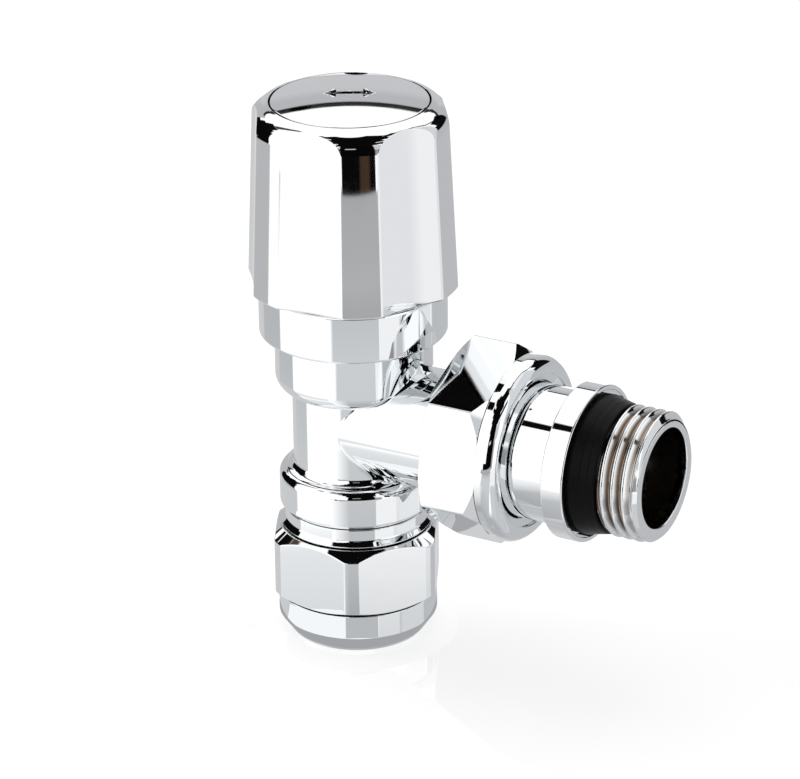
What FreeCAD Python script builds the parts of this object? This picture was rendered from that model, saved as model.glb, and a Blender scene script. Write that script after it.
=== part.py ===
import FreeCAD, Part
import math
import os

from FreeCAD import Vector

# Angled radiator valve. Z is the axis of the pipe below and the wheelhead above,
# X is the axis of the branch to the radiator. Millimetres, z = 0 at the pipe end.

# Fits shared by many pieces
thread_clearance = 0.05
slide_clearance = 0.05
face_clearance = 0.05
seal_clearance = 0.05
hex_side_angle = 60.0

# Copper pipe and its passages
pipe_r = 7.5
pipe_clearance = 0.1
pipe_socket_end_z = 20.0
inlet_passage_r = 5.5

# Compression nut
comp_nut_height = 18.8
comp_nut_flats = 26.0
comp_nut_corner_r = 14.4
comp_nut_top_r = 11.9
comp_nut_chamfer_angle = 30.0
comp_nut_corner_angle = -64.3
comp_skirt_height = 7.3
comp_skirt_r = 12.95
comp_base_r = 10.85
comp_base_chamfer_h = 3.0
comp_base_round = 0.5
comp_lower_chamfer_h = 0.85
comp_mouth_r = 11.4
comp_thread_r = 10.4

# Olive, the soft ring that is squeezed onto the pipe
olive_centre_z = 7.4
olive_band_half = 0.5
olive_taper = 2.9
olive_band_r = 8.95
olive_end_wall = 0.35
olive_gap = 0.1

# Valve body, from the pipe end upwards
boss_gap = 0.3
boss_height = 2.8
boss_r = 11.6
boss_round = 1.1
neck_groove_width = 0.35
neck_groove_r = 11.2
collar_height = 5.8
collar_r = 12.4
collar_lower_round = 0.6
collar_upper_round = 1.0
collar_fillet = 1.35
tube_r = 10.05
branch_rise = 9.8
bell_rise = 4.8
bell_height = 9.7
bell_r = 12.7
bell_edge_round = 0.4

# Branch and its union thread
branch_r = 9.8
branch_fillet = 2.2
branch_bore_r = 6.0
union_back_x = 19.6
union_relief = 1.0
union_thread_r = 12.0
union_thread_length = 6.9
spigot_bore_depth = 5.5
spigot_r = 8.5

# Seat and disc
seat_drop = 0.4
seat_lip_height = 0.8
seat_lip_wall = 1.1
chamber_r = 7.8
disc_washer_r = 6.9
disc_washer_thickness = 2.3
disc_flange_thickness = 1.35
disc_rim_wall = 0.45
disc_rim_depth = 1.3
disc_socket_r = 5.0
disc_socket_floor = 0.6
disc_lip_height = 1.1
disc_screw_shank_r = 1.25
disc_screw_head_r = 3.0
disc_screw_head_h = 1.35

# Spindle
spindle_knob_r = 3.0
spindle_knob_h = 2.1
spindle_neck_r = 2.25
spindle_neck_gap = 0.3
spindle_thread_r = 4.0
spindle_thread_length = 15.7
spindle_r = 3.5
spline_count = 18
spline_tip_r = 3.45
spline_root_r = 3.05
spline_root_share = 0.68
spline_tip_share = 0.32

# Bonnet, screwed down into the bell
bonnet_end_gap = 0.3
bonnet_seat_gap = 0.1
bonnet_spigot_length = 2.4
bonnet_spigot_r = 8.4
bonnet_thread_r = 9.0
bonnet_flats = 21.0
bonnet_hex_height = 5.0
bonnet_neck_r = 7.6
bonnet_neck_height = 9.5
stuffing_r = 5.9
stuffing_depth = 8.0
edge_chamfer = 0.5

# Rings and washers inside
bonnet_ring_wire_r = 0.6
spindle_ring_wire_r = 1.13
gland_washer_thickness = 0.8
packing_height = 2.0
gland_thread_length = 2.6
gland_hex_height = 2.8
gland_flats = 12.0

# Shroud ring round the bonnet
shroud_inset = 0.8
shroud_neck_gap = 0.35
shroud_visible_height = 8.0
shroud_neck_height = 6.2
shroud_wall = 0.8
shroud_plate = 1.1
shroud_hole_gap = 0.2
shroud_edge_round = 0.5

# Wheelhead
head_gap = 0.4
head_height = 30.2
head_crest_r = 17.25
head_draft_angle = 2.6
head_shoulder_round = 3.6
head_flute_count = 6
head_crest_width_angle = 21.0
head_crest_angle = 5.0
head_flute_depth = 0.35
head_wall = 1.3
head_cavity_round = 2.0
head_plate = 2.8
hub_r = 6.5
hub_web = 1.3
hub_bottom_gap = 1.0
rib_thickness = 1.4
rib_start_gap = 4.0
recess_r = 12.75
recess_depth = 3.5
recess_top_slope = 0.7

# Cap that snaps into the wheelhead
cap_gap = 0.15
cap_thickness = 1.5
cap_edge_height = 1.5
cap_dome = 1.2
cap_skirt_wall = 1.2
cap_bead = 0.12
cap_bead_height = 0.6
cap_notch_r = 1.9
cap_notch_reach = 2.2
cap_notch_depth = 0.9
cap_notch_angle = 115.0

# Screw that holds the wheelhead on the spindle
head_screw_shank_r = 1.45
head_screw_length = 7.0
head_screw_head_r = 3.2
head_screw_head_h = 1.9
head_screw_washer_r = 4.1
head_screw_washer_h = 0.6
screw_slot_width = 0.8
screw_slot_depth = 0.7

# Union nut
union_nut_flats = 28.8
union_nut_corner_r = 16.5
union_nut_corner_angle = 39.15
union_hex_length = 9.95
union_back_chamfer = 0.9
union_back_chamfer_width = 1.8
union_front_chamfer = 1.5
union_bead_r = 15.1
union_bead_length = 2.0
union_bead_round = 0.8
union_edge_round = 0.4
union_front_length = 1.5
union_front_r = 13.0
union_lip_r = 11.15
union_lip_length = 2.1
union_step_r = 12.3
union_step_depth = 1.0

# Tailpiece, from the spigot outwards
tail_shoulder_gap = 0.1
tail_spigot_wall = 2.0
tail_pipe_r = 10.85
tail_flange_x = 40.0
tail_flange_length = 3.75
tail_flange_r = 12.6
tail_flange_rim = 0.75
tail_flange_round = 0.25
tail_recess_depth = 1.2
tail_neck_r = 9.3
tail_seal_length = 5.6
tail_thread_r = 10.48
tail_thread_length = 7.2
tail_thread_chamfer = 0.65
tail_bore_r = 8.03
tail_bore_length = 15.0
tail_socket_flats = 13.0
tail_ring_wire_r = 0.7
tail_ring_seat_drop = 0.15
tail_ring_opening_angle = 24.0
union_ring_wire_r = 0.75

# Rubber seal against the radiator
seal_base_r = 11.7
seal_tip_r = 10.3
seal_base_length = 1.9
seal_round = 0.3

# Heights that follow from the sizes above
pipe_hole_r = pipe_r + pipe_clearance
body_end_z = olive_centre_z + olive_band_half + olive_gap
comp_floor_z = olive_centre_z - olive_band_half - olive_gap
boss_z = comp_nut_height + boss_gap
collar_z = boss_z + boss_height + neck_groove_width
collar_top_z = collar_z + collar_height
branch_z = collar_top_z + branch_rise
bell_z = branch_z + bell_rise
bell_top_z = bell_z + bell_height
chamber_floor_z = branch_z - branch_bore_r - seat_drop
seat_z = chamber_floor_z + seat_lip_height
bonnet_end_z = branch_z + branch_bore_r + bonnet_end_gap
bonnet_thread_z = bonnet_end_z + bonnet_spigot_length
bonnet_hex_z = bell_top_z + shroud_plate + bonnet_seat_gap
bonnet_neck_z = bonnet_hex_z + bonnet_hex_height
bonnet_top_z = bonnet_neck_z + bonnet_neck_height
stuffing_z = bonnet_top_z - stuffing_depth
gland_hex_z = bonnet_top_z + face_clearance
gland_top_z = gland_hex_z + gland_hex_height
shroud_z = bell_top_z + face_clearance
shroud_step_z = shroud_z + shroud_visible_height
head_z = shroud_step_z + head_gap
head_top_z = head_z + head_height
plate_top_z = head_top_z - recess_depth
plate_z = plate_top_z - head_plate
hub_z = gland_top_z + hub_bottom_gap
screw_seat_z = plate_z + hub_web
spindle_top_z = plate_z - face_clearance
disc_washer_z = seat_z + face_clearance
disc_flange_z = disc_washer_z + disc_washer_thickness + face_clearance
disc_socket_z = disc_flange_z + disc_flange_thickness + disc_socket_floor
spindle_knob_z = disc_socket_z + face_clearance
spindle_neck_z = spindle_knob_z + spindle_knob_h
disc_top_z = spindle_neck_z + face_clearance + disc_lip_height
spindle_thread_z = disc_top_z + spindle_neck_gap
spindle_shoulder_z = spindle_thread_z + spindle_thread_length

# Places along the branch that follow from the sizes above
union_thread_x = union_back_x + union_relief
branch_end_x = union_thread_x + union_thread_length
spigot_x = branch_end_x - spigot_bore_depth
union_bead_x = union_back_x + union_hex_length
union_front_x = union_bead_x + union_bead_length + union_front_length
union_lip_x = union_front_x - union_step_depth - union_lip_length
tail_shoulder_x = branch_end_x + tail_shoulder_gap
tail_face_x = tail_flange_x + tail_flange_length
tail_recess_x = tail_face_x - tail_recess_depth
tail_thread_x = tail_recess_x + tail_seal_length
tail_end_x = tail_thread_x + tail_thread_length
tail_ring_r = tail_pipe_r + tail_ring_seat_drop
union_cone_x = union_lip_x - (union_thread_r + thread_clearance - union_lip_r)
tail_ring_x = (
    union_cone_x
    + union_thread_r
    + thread_clearance
    - tail_ring_r
    - (tail_ring_wire_r + slide_clearance) * math.sqrt(2)
)


def polar(radius, angle, z=0.0):
    """Point at a radius and an angle in degrees round the Z axis."""
    turn = math.radians(angle)
    return Vector(radius * math.cos(turn), radius * math.sin(turn), z)


def outline_face(corners):
    """Face in the XZ plane. A corner is (r, z), or (r, z, radius of its rounding),
    or (r, z, 0, chamfer), where the chamfer takes that much off each side."""
    points = [Vector(corner[0], 0, corner[1]) for corner in corners]
    count = len(points)
    starts = []
    arcs = []
    ends = []
    for i, corner in enumerate(corners):
        here = points[i]
        if len(corner) == 2:
            starts.append(here)
            arcs.append(None)
            ends.append(here)
            continue
        back = (points[i - 1] - here).normalize()
        ahead = (points[(i + 1) % count] - here).normalize()
        if len(corner) == 4:
            starts.append(here + back * corner[3])
            ends.append(here + ahead * corner[3])
            arcs.append(Part.makeLine(starts[i], ends[i]))
            continue
        radius = corner[2]
        half = back.getAngle(ahead) / 2
        middle = (back + ahead).normalize()
        centre = here + middle * (radius / math.sin(half))
        start = here + back * (radius / math.tan(half))
        end = here + ahead * (radius / math.tan(half))
        starts.append(start)
        arcs.append(Part.Arc(start, centre - middle * radius, end).toShape())
        ends.append(end)
    edges = []
    for i in range(count):
        if arcs[i] is not None:
            edges.append(arcs[i])
        following = starts[(i + 1) % count]
        if (following - ends[i]).Length > 1e-6:
            edges.append(Part.makeLine(ends[i], following))
    return Part.Face(Part.Wire(edges))


def turned(corners):
    """Solid turned about the Z axis from an outline of (r, z) corners."""
    return outline_face(corners).revolve(Vector(0, 0, 0), Vector(0, 0, 1), 360)


def ring(centre_r, wire_r, z):
    """Ring of round section about the Z axis."""
    return Part.makeTorus(centre_r, wire_r, Vector(0, 0, z))


def bar(radius, z_from, z_to):
    """Round bar on the Z axis."""
    return Part.makeCylinder(radius, z_to - z_from, Vector(0, 0, z_from))


def hexagon(flats, z_from, z_to, corner_angle):
    """Hexagonal bar on the Z axis, with one corner at the given angle."""
    corner_r = flats / 2 / math.cos(math.radians(hex_side_angle / 2))
    corners = [polar(corner_r, corner_angle + hex_side_angle * i, z_from) for i in range(7)]
    return Part.Face(Part.makePolygon(corners)).extrude(Vector(0, 0, z_to - z_from))


def on_branch(shape):
    """Turns a shape built on the Z axis so that it lies on the branch axis."""
    laid = shape.rotated(Vector(0, 0, 0), Vector(0, 1, 0), 90)
    return laid.translated(Vector(0, 0, branch_z))


def along_branch(corners):
    """Solid turned about the branch axis from an outline of (r, x) corners."""
    return on_branch(turned(corners))


def cone_length():
    """Length of the cone that a seat for the olive needs to reach the pipe hole."""
    slope = (olive_band_r - pipe_hole_r - olive_end_wall) / olive_taper
    return (olive_band_r + olive_gap - pipe_hole_r) / slope


def make_valve_body():
    outside = turned([
        (0, body_end_z),
        (comp_thread_r, body_end_z, 0, edge_chamfer),
        (comp_thread_r, boss_z),
        (boss_r, boss_z, boss_round),
        (boss_r, collar_z - neck_groove_width),
        (neck_groove_r, collar_z - neck_groove_width),
        (neck_groove_r, collar_z),
        (collar_r, collar_z, collar_lower_round),
        (collar_r, collar_top_z, collar_upper_round),
        (tube_r, collar_top_z, collar_fillet),
        (tube_r, bell_z),
        (bell_r, bell_z, bell_r - tube_r),
        (bell_r, bell_top_z, bell_edge_round),
        (0, bell_top_z),
    ])
    branch = on_branch(bar(branch_r, 0, union_thread_x))
    crossing = bar(tube_r, collar_z, bell_top_z).fuse(branch).removeSplitter()
    creases = [edge for edge in crossing.Edges if not isinstance(edge.Curve, (Part.Line, Part.Circle))]
    crossing = crossing.makeFillet(branch_fillet, creases)
    union_end = along_branch([
        (0, union_thread_x),
        (union_thread_r, union_thread_x, 0, edge_chamfer),
        (union_thread_r, branch_end_x, 0, edge_chamfer),
        (0, branch_end_x),
    ])
    body = outside.fuse([crossing, union_end]).removeSplitter()
    inside = turned([
        (0, body_end_z),
        (olive_band_r + olive_gap, body_end_z),
        (pipe_hole_r, body_end_z + cone_length()),
        (pipe_hole_r, pipe_socket_end_z),
        (inlet_passage_r, pipe_socket_end_z),
        (inlet_passage_r, seat_z),
        (inlet_passage_r + seat_lip_wall, seat_z),
        (inlet_passage_r + seat_lip_wall, chamber_floor_z),
        (chamber_r, chamber_floor_z),
        (chamber_r, bonnet_end_z - bonnet_seat_gap),
        (bonnet_spigot_r + slide_clearance, bonnet_end_z - bonnet_seat_gap),
        (bonnet_spigot_r + slide_clearance, bonnet_thread_z),
        (bonnet_thread_r + thread_clearance, bonnet_thread_z),
        (bonnet_thread_r + thread_clearance, bell_top_z),
        (0, bell_top_z),
    ])
    waterway = on_branch(bar(branch_bore_r, 0, branch_end_x))
    spigot_bore = on_branch(bar(spigot_r + slide_clearance, spigot_x, branch_end_x))
    seat_lip = turned([
        (inlet_passage_r, chamber_floor_z),
        (inlet_passage_r + seat_lip_wall, chamber_floor_z),
        (inlet_passage_r + seat_lip_wall, seat_z),
        (inlet_passage_r, seat_z),
    ])
    return body.cut([inside, waterway.cut(seat_lip), spigot_bore])


def make_compression_nut():
    chamfer_h = (comp_nut_corner_r - comp_nut_top_r) * math.tan(math.radians(comp_nut_chamfer_angle))
    blank = turned([
        (0, comp_skirt_height),
        (comp_nut_flats / 2, comp_skirt_height),
        (comp_nut_corner_r, comp_skirt_height + comp_lower_chamfer_h),
        (comp_nut_corner_r, comp_nut_height - chamfer_h),
        (comp_nut_top_r, comp_nut_height),
        (0, comp_nut_height),
    ])
    hexed = blank.common(hexagon(comp_nut_flats, comp_skirt_height, comp_nut_height, comp_nut_corner_angle))
    skirt = turned([
        (0, 0),
        (comp_base_r, 0),
        (comp_skirt_r, comp_base_chamfer_h, comp_base_round),
        (comp_skirt_r, comp_skirt_height),
        (0, comp_skirt_height),
    ])
    inside = turned([
        (0, 0),
        (pipe_hole_r, 0),
        (pipe_hole_r, comp_floor_z - cone_length()),
        (olive_band_r + olive_gap, comp_floor_z),
        (comp_thread_r + thread_clearance, comp_floor_z),
        (comp_thread_r + thread_clearance, comp_nut_height - (comp_mouth_r - comp_thread_r)),
        (comp_mouth_r, comp_nut_height),
        (0, comp_nut_height),
    ])
    return hexed.fuse(skirt).cut(inside)


def make_olive():
    end_r = pipe_hole_r + olive_end_wall
    half = olive_band_half + olive_taper
    return turned([
        (pipe_hole_r, olive_centre_z - half),
        (end_r, olive_centre_z - half),
        (olive_band_r, olive_centre_z - olive_band_half),
        (olive_band_r, olive_centre_z + olive_band_half),
        (end_r, olive_centre_z + half),
        (pipe_hole_r, olive_centre_z + half),
    ])


def make_disc_holder():
    rim_r = disc_washer_r + face_clearance
    return turned([
        (disc_screw_shank_r + slide_clearance, disc_flange_z),
        (rim_r, disc_flange_z),
        (rim_r, disc_flange_z - disc_rim_depth),
        (rim_r + disc_rim_wall, disc_flange_z - disc_rim_depth),
        (rim_r + disc_rim_wall, disc_flange_z + disc_flange_thickness, 0, edge_chamfer),
        (disc_socket_r, disc_flange_z + disc_flange_thickness),
        (disc_socket_r, disc_top_z, 0, edge_chamfer),
        (spindle_neck_r + slide_clearance, disc_top_z),
        (spindle_neck_r + slide_clearance, disc_top_z - disc_lip_height),
        (spindle_knob_r + slide_clearance, disc_top_z - disc_lip_height),
        (spindle_knob_r + slide_clearance, disc_socket_z),
        (disc_screw_shank_r + slide_clearance, disc_socket_z),
    ])


def make_disc_washer():
    return turned([
        (disc_screw_shank_r + slide_clearance, disc_washer_z),
        (disc_washer_r, disc_washer_z),
        (disc_washer_r, disc_washer_z + disc_washer_thickness),
        (disc_screw_shank_r + slide_clearance, disc_washer_z + disc_washer_thickness),
    ])


def make_disc_screw():
    head_z = disc_washer_z - face_clearance - disc_screw_head_h
    screw = turned([
        (0, head_z),
        (disc_screw_head_r, head_z, 0, edge_chamfer),
        (disc_screw_head_r, head_z + disc_screw_head_h),
        (disc_screw_shank_r, head_z + disc_screw_head_h),
        (disc_screw_shank_r, disc_socket_z - face_clearance),
        (0, disc_socket_z - face_clearance),
    ])
    return screw.cut(driver_slot(disc_screw_head_r, head_z, 1))


def driver_slot(head_r, face_z, inward):
    """Bar that cuts a screwdriver slot across a screw head."""
    low = min(face_z, face_z + inward * screw_slot_depth)
    corner = Vector(-head_r, -screw_slot_width / 2, low)
    return Part.makeBox(2 * head_r, screw_slot_width, screw_slot_depth, corner)


def spline_bar(clearance, z_from, z_to):
    """Bar with straight tapered teeth all round, grown by a clearance."""
    pitch = 360.0 / spline_count
    tip_r = spline_tip_r + clearance
    root_r = spline_root_r + clearance
    grow = math.degrees(clearance / spline_root_r)
    corners = []
    root_half = pitch * spline_root_share / 2 + grow
    tip_half = pitch * spline_tip_share / 2 + grow
    for tooth in range(spline_count):
        middle = tooth * pitch
        corners.append(polar(root_r, middle - root_half, z_from))
        corners.append(polar(tip_r, middle - tip_half, z_from))
        corners.append(polar(tip_r, middle + tip_half, z_from))
        corners.append(polar(root_r, middle + root_half, z_from))
    corners.append(corners[0])
    return Part.Face(Part.makePolygon(corners)).extrude(Vector(0, 0, z_to - z_from))


def make_spindle():
    shaft = turned([
        (0, spindle_knob_z),
        (spindle_knob_r, spindle_knob_z),
        (spindle_knob_r, spindle_neck_z),
        (spindle_neck_r, spindle_neck_z),
        (spindle_neck_r, spindle_thread_z),
        (spindle_thread_r, spindle_thread_z),
        (spindle_thread_r, spindle_shoulder_z),
        (spindle_r, spindle_shoulder_z),
        (spindle_r, hub_z - face_clearance),
        (0, hub_z - face_clearance),
    ])
    toothed = spline_bar(0.0, hub_z - face_clearance, spindle_top_z)
    screw_end_z = screw_seat_z - head_screw_length
    tapped = bar(head_screw_shank_r + thread_clearance, screw_end_z - face_clearance, spindle_top_z)
    return shaft.fuse(toothed).cut(tapped)


def make_bonnet():
    shank = turned([
        (0, bonnet_end_z),
        (bonnet_spigot_r, bonnet_end_z),
        (bonnet_spigot_r, bonnet_thread_z + face_clearance),
        (bonnet_thread_r, bonnet_thread_z + face_clearance),
        (bonnet_thread_r, bonnet_hex_z),
        (bonnet_neck_r, bonnet_hex_z),
        (bonnet_neck_r, bonnet_top_z, 0, edge_chamfer),
        (0, bonnet_top_z),
    ])
    hex_corner_r = bonnet_flats / 2 / math.cos(math.radians(hex_side_angle / 2))
    blank = turned([
        (0, bonnet_hex_z),
        (hex_corner_r, bonnet_hex_z),
        (hex_corner_r, bonnet_neck_z - edge_chamfer),
        (bonnet_flats / 2, bonnet_neck_z),
        (0, bonnet_neck_z),
    ])
    hexed = blank.common(hexagon(bonnet_flats, bonnet_hex_z, bonnet_neck_z, 0.0))
    floor_r = bonnet_ring_centre_r() - bonnet_ring_wire_r - seal_clearance
    half = bonnet_ring_wire_r + seal_clearance
    middle_z = bonnet_end_z + bonnet_spigot_length / 2
    groove = turned([
        (floor_r, middle_z - half),
        (bonnet_spigot_r + slide_clearance, middle_z - half),
        (bonnet_spigot_r + slide_clearance, middle_z + half),
        (floor_r, middle_z + half),
    ])
    inside = turned([
        (0, bonnet_end_z),
        (spindle_thread_r + thread_clearance, bonnet_end_z),
        (spindle_thread_r + thread_clearance, stuffing_z),
        (stuffing_r, stuffing_z),
        (stuffing_r, bonnet_top_z),
        (0, bonnet_top_z),
    ])
    return shank.fuse(hexed).cut([groove, inside])


def bonnet_ring_centre_r():
    """Radius of the bonnet's sealing ring, which touches the wall of the chamber."""
    return bonnet_spigot_r + slide_clearance - bonnet_ring_wire_r - seal_clearance


def make_bonnet_o_ring():
    middle_z = bonnet_end_z + bonnet_spigot_length / 2
    return ring(bonnet_ring_centre_r(), bonnet_ring_wire_r, middle_z)


def gland_stack():
    """Heights of the washer, the ring, the packing and the gland nut, from below."""
    washer_z = stuffing_z + face_clearance
    ring_z = washer_z + gland_washer_thickness + face_clearance + spindle_ring_wire_r
    packing_z = ring_z + spindle_ring_wire_r + face_clearance
    return washer_z, ring_z, packing_z


def make_gland_washer():
    washer_z = gland_stack()[0]
    hole_r = spindle_r + slide_clearance
    outer_r = stuffing_r - slide_clearance
    return bar(outer_r, washer_z, washer_z + gland_washer_thickness).cut(
        bar(hole_r, washer_z, washer_z + gland_washer_thickness)
    )


def make_spindle_o_ring():
    return ring((spindle_r + stuffing_r) / 2, spindle_ring_wire_r, gland_stack()[1])


def make_gland_packing():
    packing_z = gland_stack()[2]
    return turned([
        (spindle_r + slide_clearance, packing_z),
        (stuffing_r - slide_clearance, packing_z),
        (stuffing_r - slide_clearance, packing_z + packing_height),
        (spindle_r + slide_clearance, packing_z + packing_height),
    ])


def make_gland_nut():
    hex_corner_r = gland_flats / 2 / math.cos(math.radians(hex_side_angle / 2))
    blank = turned([
        (0, gland_hex_z),
        (hex_corner_r, gland_hex_z),
        (hex_corner_r, gland_top_z - edge_chamfer),
        (gland_flats / 2, gland_top_z),
        (0, gland_top_z),
    ])
    hexed = blank.common(hexagon(gland_flats, gland_hex_z, gland_top_z, 0.0))
    thread = bar(stuffing_r - thread_clearance, gland_hex_z - gland_thread_length, gland_hex_z)
    hole = bar(spindle_r + slide_clearance, gland_hex_z - gland_thread_length, gland_top_z)
    return hexed.fuse(thread).cut(hole)


def make_head_shroud():
    neck_top_z = shroud_step_z + shroud_neck_height
    shroud_r = flute_r(head_z) - shroud_inset
    shroud_neck_r = flute_r(neck_top_z) - head_wall - shroud_neck_gap
    inner_r = shroud_neck_r - shroud_wall
    hole_r = bonnet_thread_r + shroud_hole_gap
    return turned([
        (hole_r, shroud_z),
        (shroud_r, shroud_z, shroud_edge_round),
        (shroud_r, shroud_step_z, shroud_edge_round),
        (shroud_neck_r, shroud_step_z),
        (shroud_neck_r, neck_top_z),
        (inner_r, neck_top_z),
        (inner_r, shroud_z + shroud_plate),
        (hole_r, shroud_z + shroud_plate),
    ])


def crest_r(z):
    """Radius of the wheelhead's crests at a height, which lean in with the draft."""
    return head_crest_r - (z - head_z) * math.tan(math.radians(head_draft_angle))


def flute_r(z):
    """Radius to the middle of a flute at a height."""
    half = 180.0 / head_flute_count - head_crest_width_angle / 2
    return crest_r(z) * math.cos(math.radians(half)) - head_flute_depth


def lobed_wire(z):
    """Section of the wheelhead: narrow crests joined by wide shallow flutes."""
    pitch = 360.0 / head_flute_count
    radius = crest_r(z)
    half = head_crest_width_angle / 2
    edges = []
    for lobe in range(head_flute_count):
        middle = head_crest_angle + lobe * pitch
        crest_from = polar(radius, middle - half, z)
        crest_to = polar(radius, middle + half, z)
        following = polar(radius, middle + pitch - half, z)
        edges.append(Part.Arc(crest_from, polar(radius, middle, z), crest_to).toShape())
        edges.append(Part.Arc(crest_to, polar(flute_r(z), middle + pitch / 2, z), following).toShape())
    return Part.Wire(edges)


def make_wheelhead():
    lobed = Part.makeLoft([lobed_wire(head_z), lobed_wire(head_top_z)], True, True)
    top_crest_r = crest_r(head_top_z)
    envelope = turned([
        (0, head_z),
        (crest_r(head_z), head_z),
        (top_crest_r, head_top_z - recess_top_slope, head_shoulder_round),
        (recess_r, head_top_z),
        (0, head_top_z),
    ])
    blank = lobed.common(envelope)
    cavity = turned([
        (0, head_z),
        (flute_r(head_z) - head_wall, head_z),
        (flute_r(plate_z) - head_wall, plate_z, head_cavity_round),
        (0, plate_z),
    ])
    cap_recess = turned([
        (0, plate_top_z),
        (recess_r, plate_top_z),
        (recess_r, plate_top_z + cap_gap),
        (recess_r + cap_bead, plate_top_z + cap_gap),
        (recess_r + cap_bead, plate_top_z + 2 * cap_gap + cap_bead_height),
        (recess_r, plate_top_z + 2 * cap_gap + cap_bead_height),
        (recess_r, head_top_z),
        (0, head_top_z),
    ])
    screw_well = bar(head_screw_washer_r + cap_gap, screw_seat_z, plate_top_z)
    spline_hole = spline_bar(slide_clearance, hub_z, plate_z)
    screw_hole = bar(head_screw_shank_r + slide_clearance, plate_z, screw_seat_z)
    hub = bar(hub_r, hub_z, plate_top_z)
    rib_z = hub_z + rib_start_gap
    ribs = []
    for rib in range(head_flute_count):
        angle = head_crest_angle + rib * 360.0 / head_flute_count
        length = flute_r(rib_z) - head_wall / 2
        web = Part.makeBox(length, rib_thickness, plate_z - rib_z, Vector(0, -rib_thickness / 2, rib_z))
        ribs.append(web.rotated(Vector(0, 0, 0), Vector(0, 0, 1), angle))
    shell = blank.cut([cavity, cap_recess])
    return shell.fuse([hub] + ribs).cut([spline_hole, screw_hole, screw_well])


def make_wheelhead_cap():
    edge_r = recess_r - cap_gap
    base_z = plate_top_z + face_clearance
    edge_z = head_top_z - cap_edge_height
    bead_low_z = plate_top_z + cap_gap * 1.5
    bead_high_z = bead_low_z + cap_bead_height
    arch_r = (edge_r ** 2 + cap_dome ** 2) / (2 * cap_dome)
    arch_z = head_top_z + cap_dome - arch_r
    disc = turned([
        (0, edge_z),
        (edge_r, edge_z),
        (edge_r, head_top_z + cap_dome),
        (0, head_top_z + cap_dome),
    ])
    dome = Part.makeSphere(arch_r, Vector(0, 0, arch_z))
    skirt = turned([
        (edge_r - cap_skirt_wall, base_z),
        (edge_r, base_z),
        (edge_r, bead_low_z),
        (edge_r + cap_bead, bead_low_z + cap_bead),
        (edge_r + cap_bead, bead_high_z - cap_bead),
        (edge_r, bead_high_z),
        (edge_r, edge_z),
        (edge_r - cap_skirt_wall, edge_z),
    ])
    under_r = arch_r - cap_thickness
    hollow = Part.makeSphere(under_r, Vector(0, 0, arch_z))
    core = bar(edge_r - cap_skirt_wall, edge_z - cap_thickness, head_top_z + cap_dome)
    notch = bar(cap_notch_r, head_top_z - cap_notch_depth, head_top_z + cap_dome)
    notch.translate(polar(edge_r - cap_notch_reach + cap_notch_r, cap_notch_angle))
    return disc.common(dome).fuse(skirt).cut([hollow.common(core), notch])


def make_head_screw():
    washer_top_z = screw_seat_z + face_clearance + head_screw_washer_h
    low_z = washer_top_z + face_clearance
    top_z = low_z + head_screw_head_h
    screw = turned([
        (0, screw_seat_z - head_screw_length),
        (head_screw_shank_r, screw_seat_z - head_screw_length),
        (head_screw_shank_r, low_z),
        (head_screw_head_r, low_z),
        (head_screw_head_r, top_z, 0, edge_chamfer),
        (0, top_z),
    ])
    slot = driver_slot(head_screw_head_r, top_z, -1)
    crossed = slot.rotated(Vector(0, 0, 0), Vector(0, 0, 1), 90)
    return screw.cut([slot, crossed])


def make_head_screw_washer():
    low_z = screw_seat_z + face_clearance
    top_z = low_z + head_screw_washer_h
    hole = bar(head_screw_shank_r + slide_clearance, low_z, top_z)
    return bar(head_screw_washer_r, low_z, top_z).cut(hole)


def make_union_nut():
    flat_r = union_nut_flats / 2
    corner_r = union_nut_corner_r
    blank = turned([
        (0, union_back_x),
        (corner_r - union_back_chamfer_width, union_back_x),
        (corner_r, union_back_x + union_back_chamfer),
        (corner_r, union_bead_x - union_front_chamfer),
        (corner_r - union_front_chamfer, union_bead_x),
        (0, union_bead_x),
    ])
    hexed = blank.common(hexagon(union_nut_flats, union_back_x, union_bead_x, 270 - union_nut_corner_angle))
    front = turned([
        (0, union_bead_x),
        (union_bead_r, union_bead_x, union_edge_round),
        (union_bead_r, union_bead_x + union_bead_length, union_bead_round),
        (union_front_r, union_front_x, union_edge_round),
        (0, union_front_x),
    ])
    thread_hole_r = union_thread_r + thread_clearance
    inside = turned([
        (0, union_back_x),
        (thread_hole_r, union_back_x),
        (thread_hole_r, union_cone_x),
        (union_lip_r, union_lip_x),
        (union_lip_r, union_lip_x + union_lip_length),
        (union_step_r, union_lip_x + union_lip_length),
        (union_step_r, union_front_x),
        (0, union_front_x),
    ])
    return on_branch(hexed.fuse(front).cut(inside))


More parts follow.
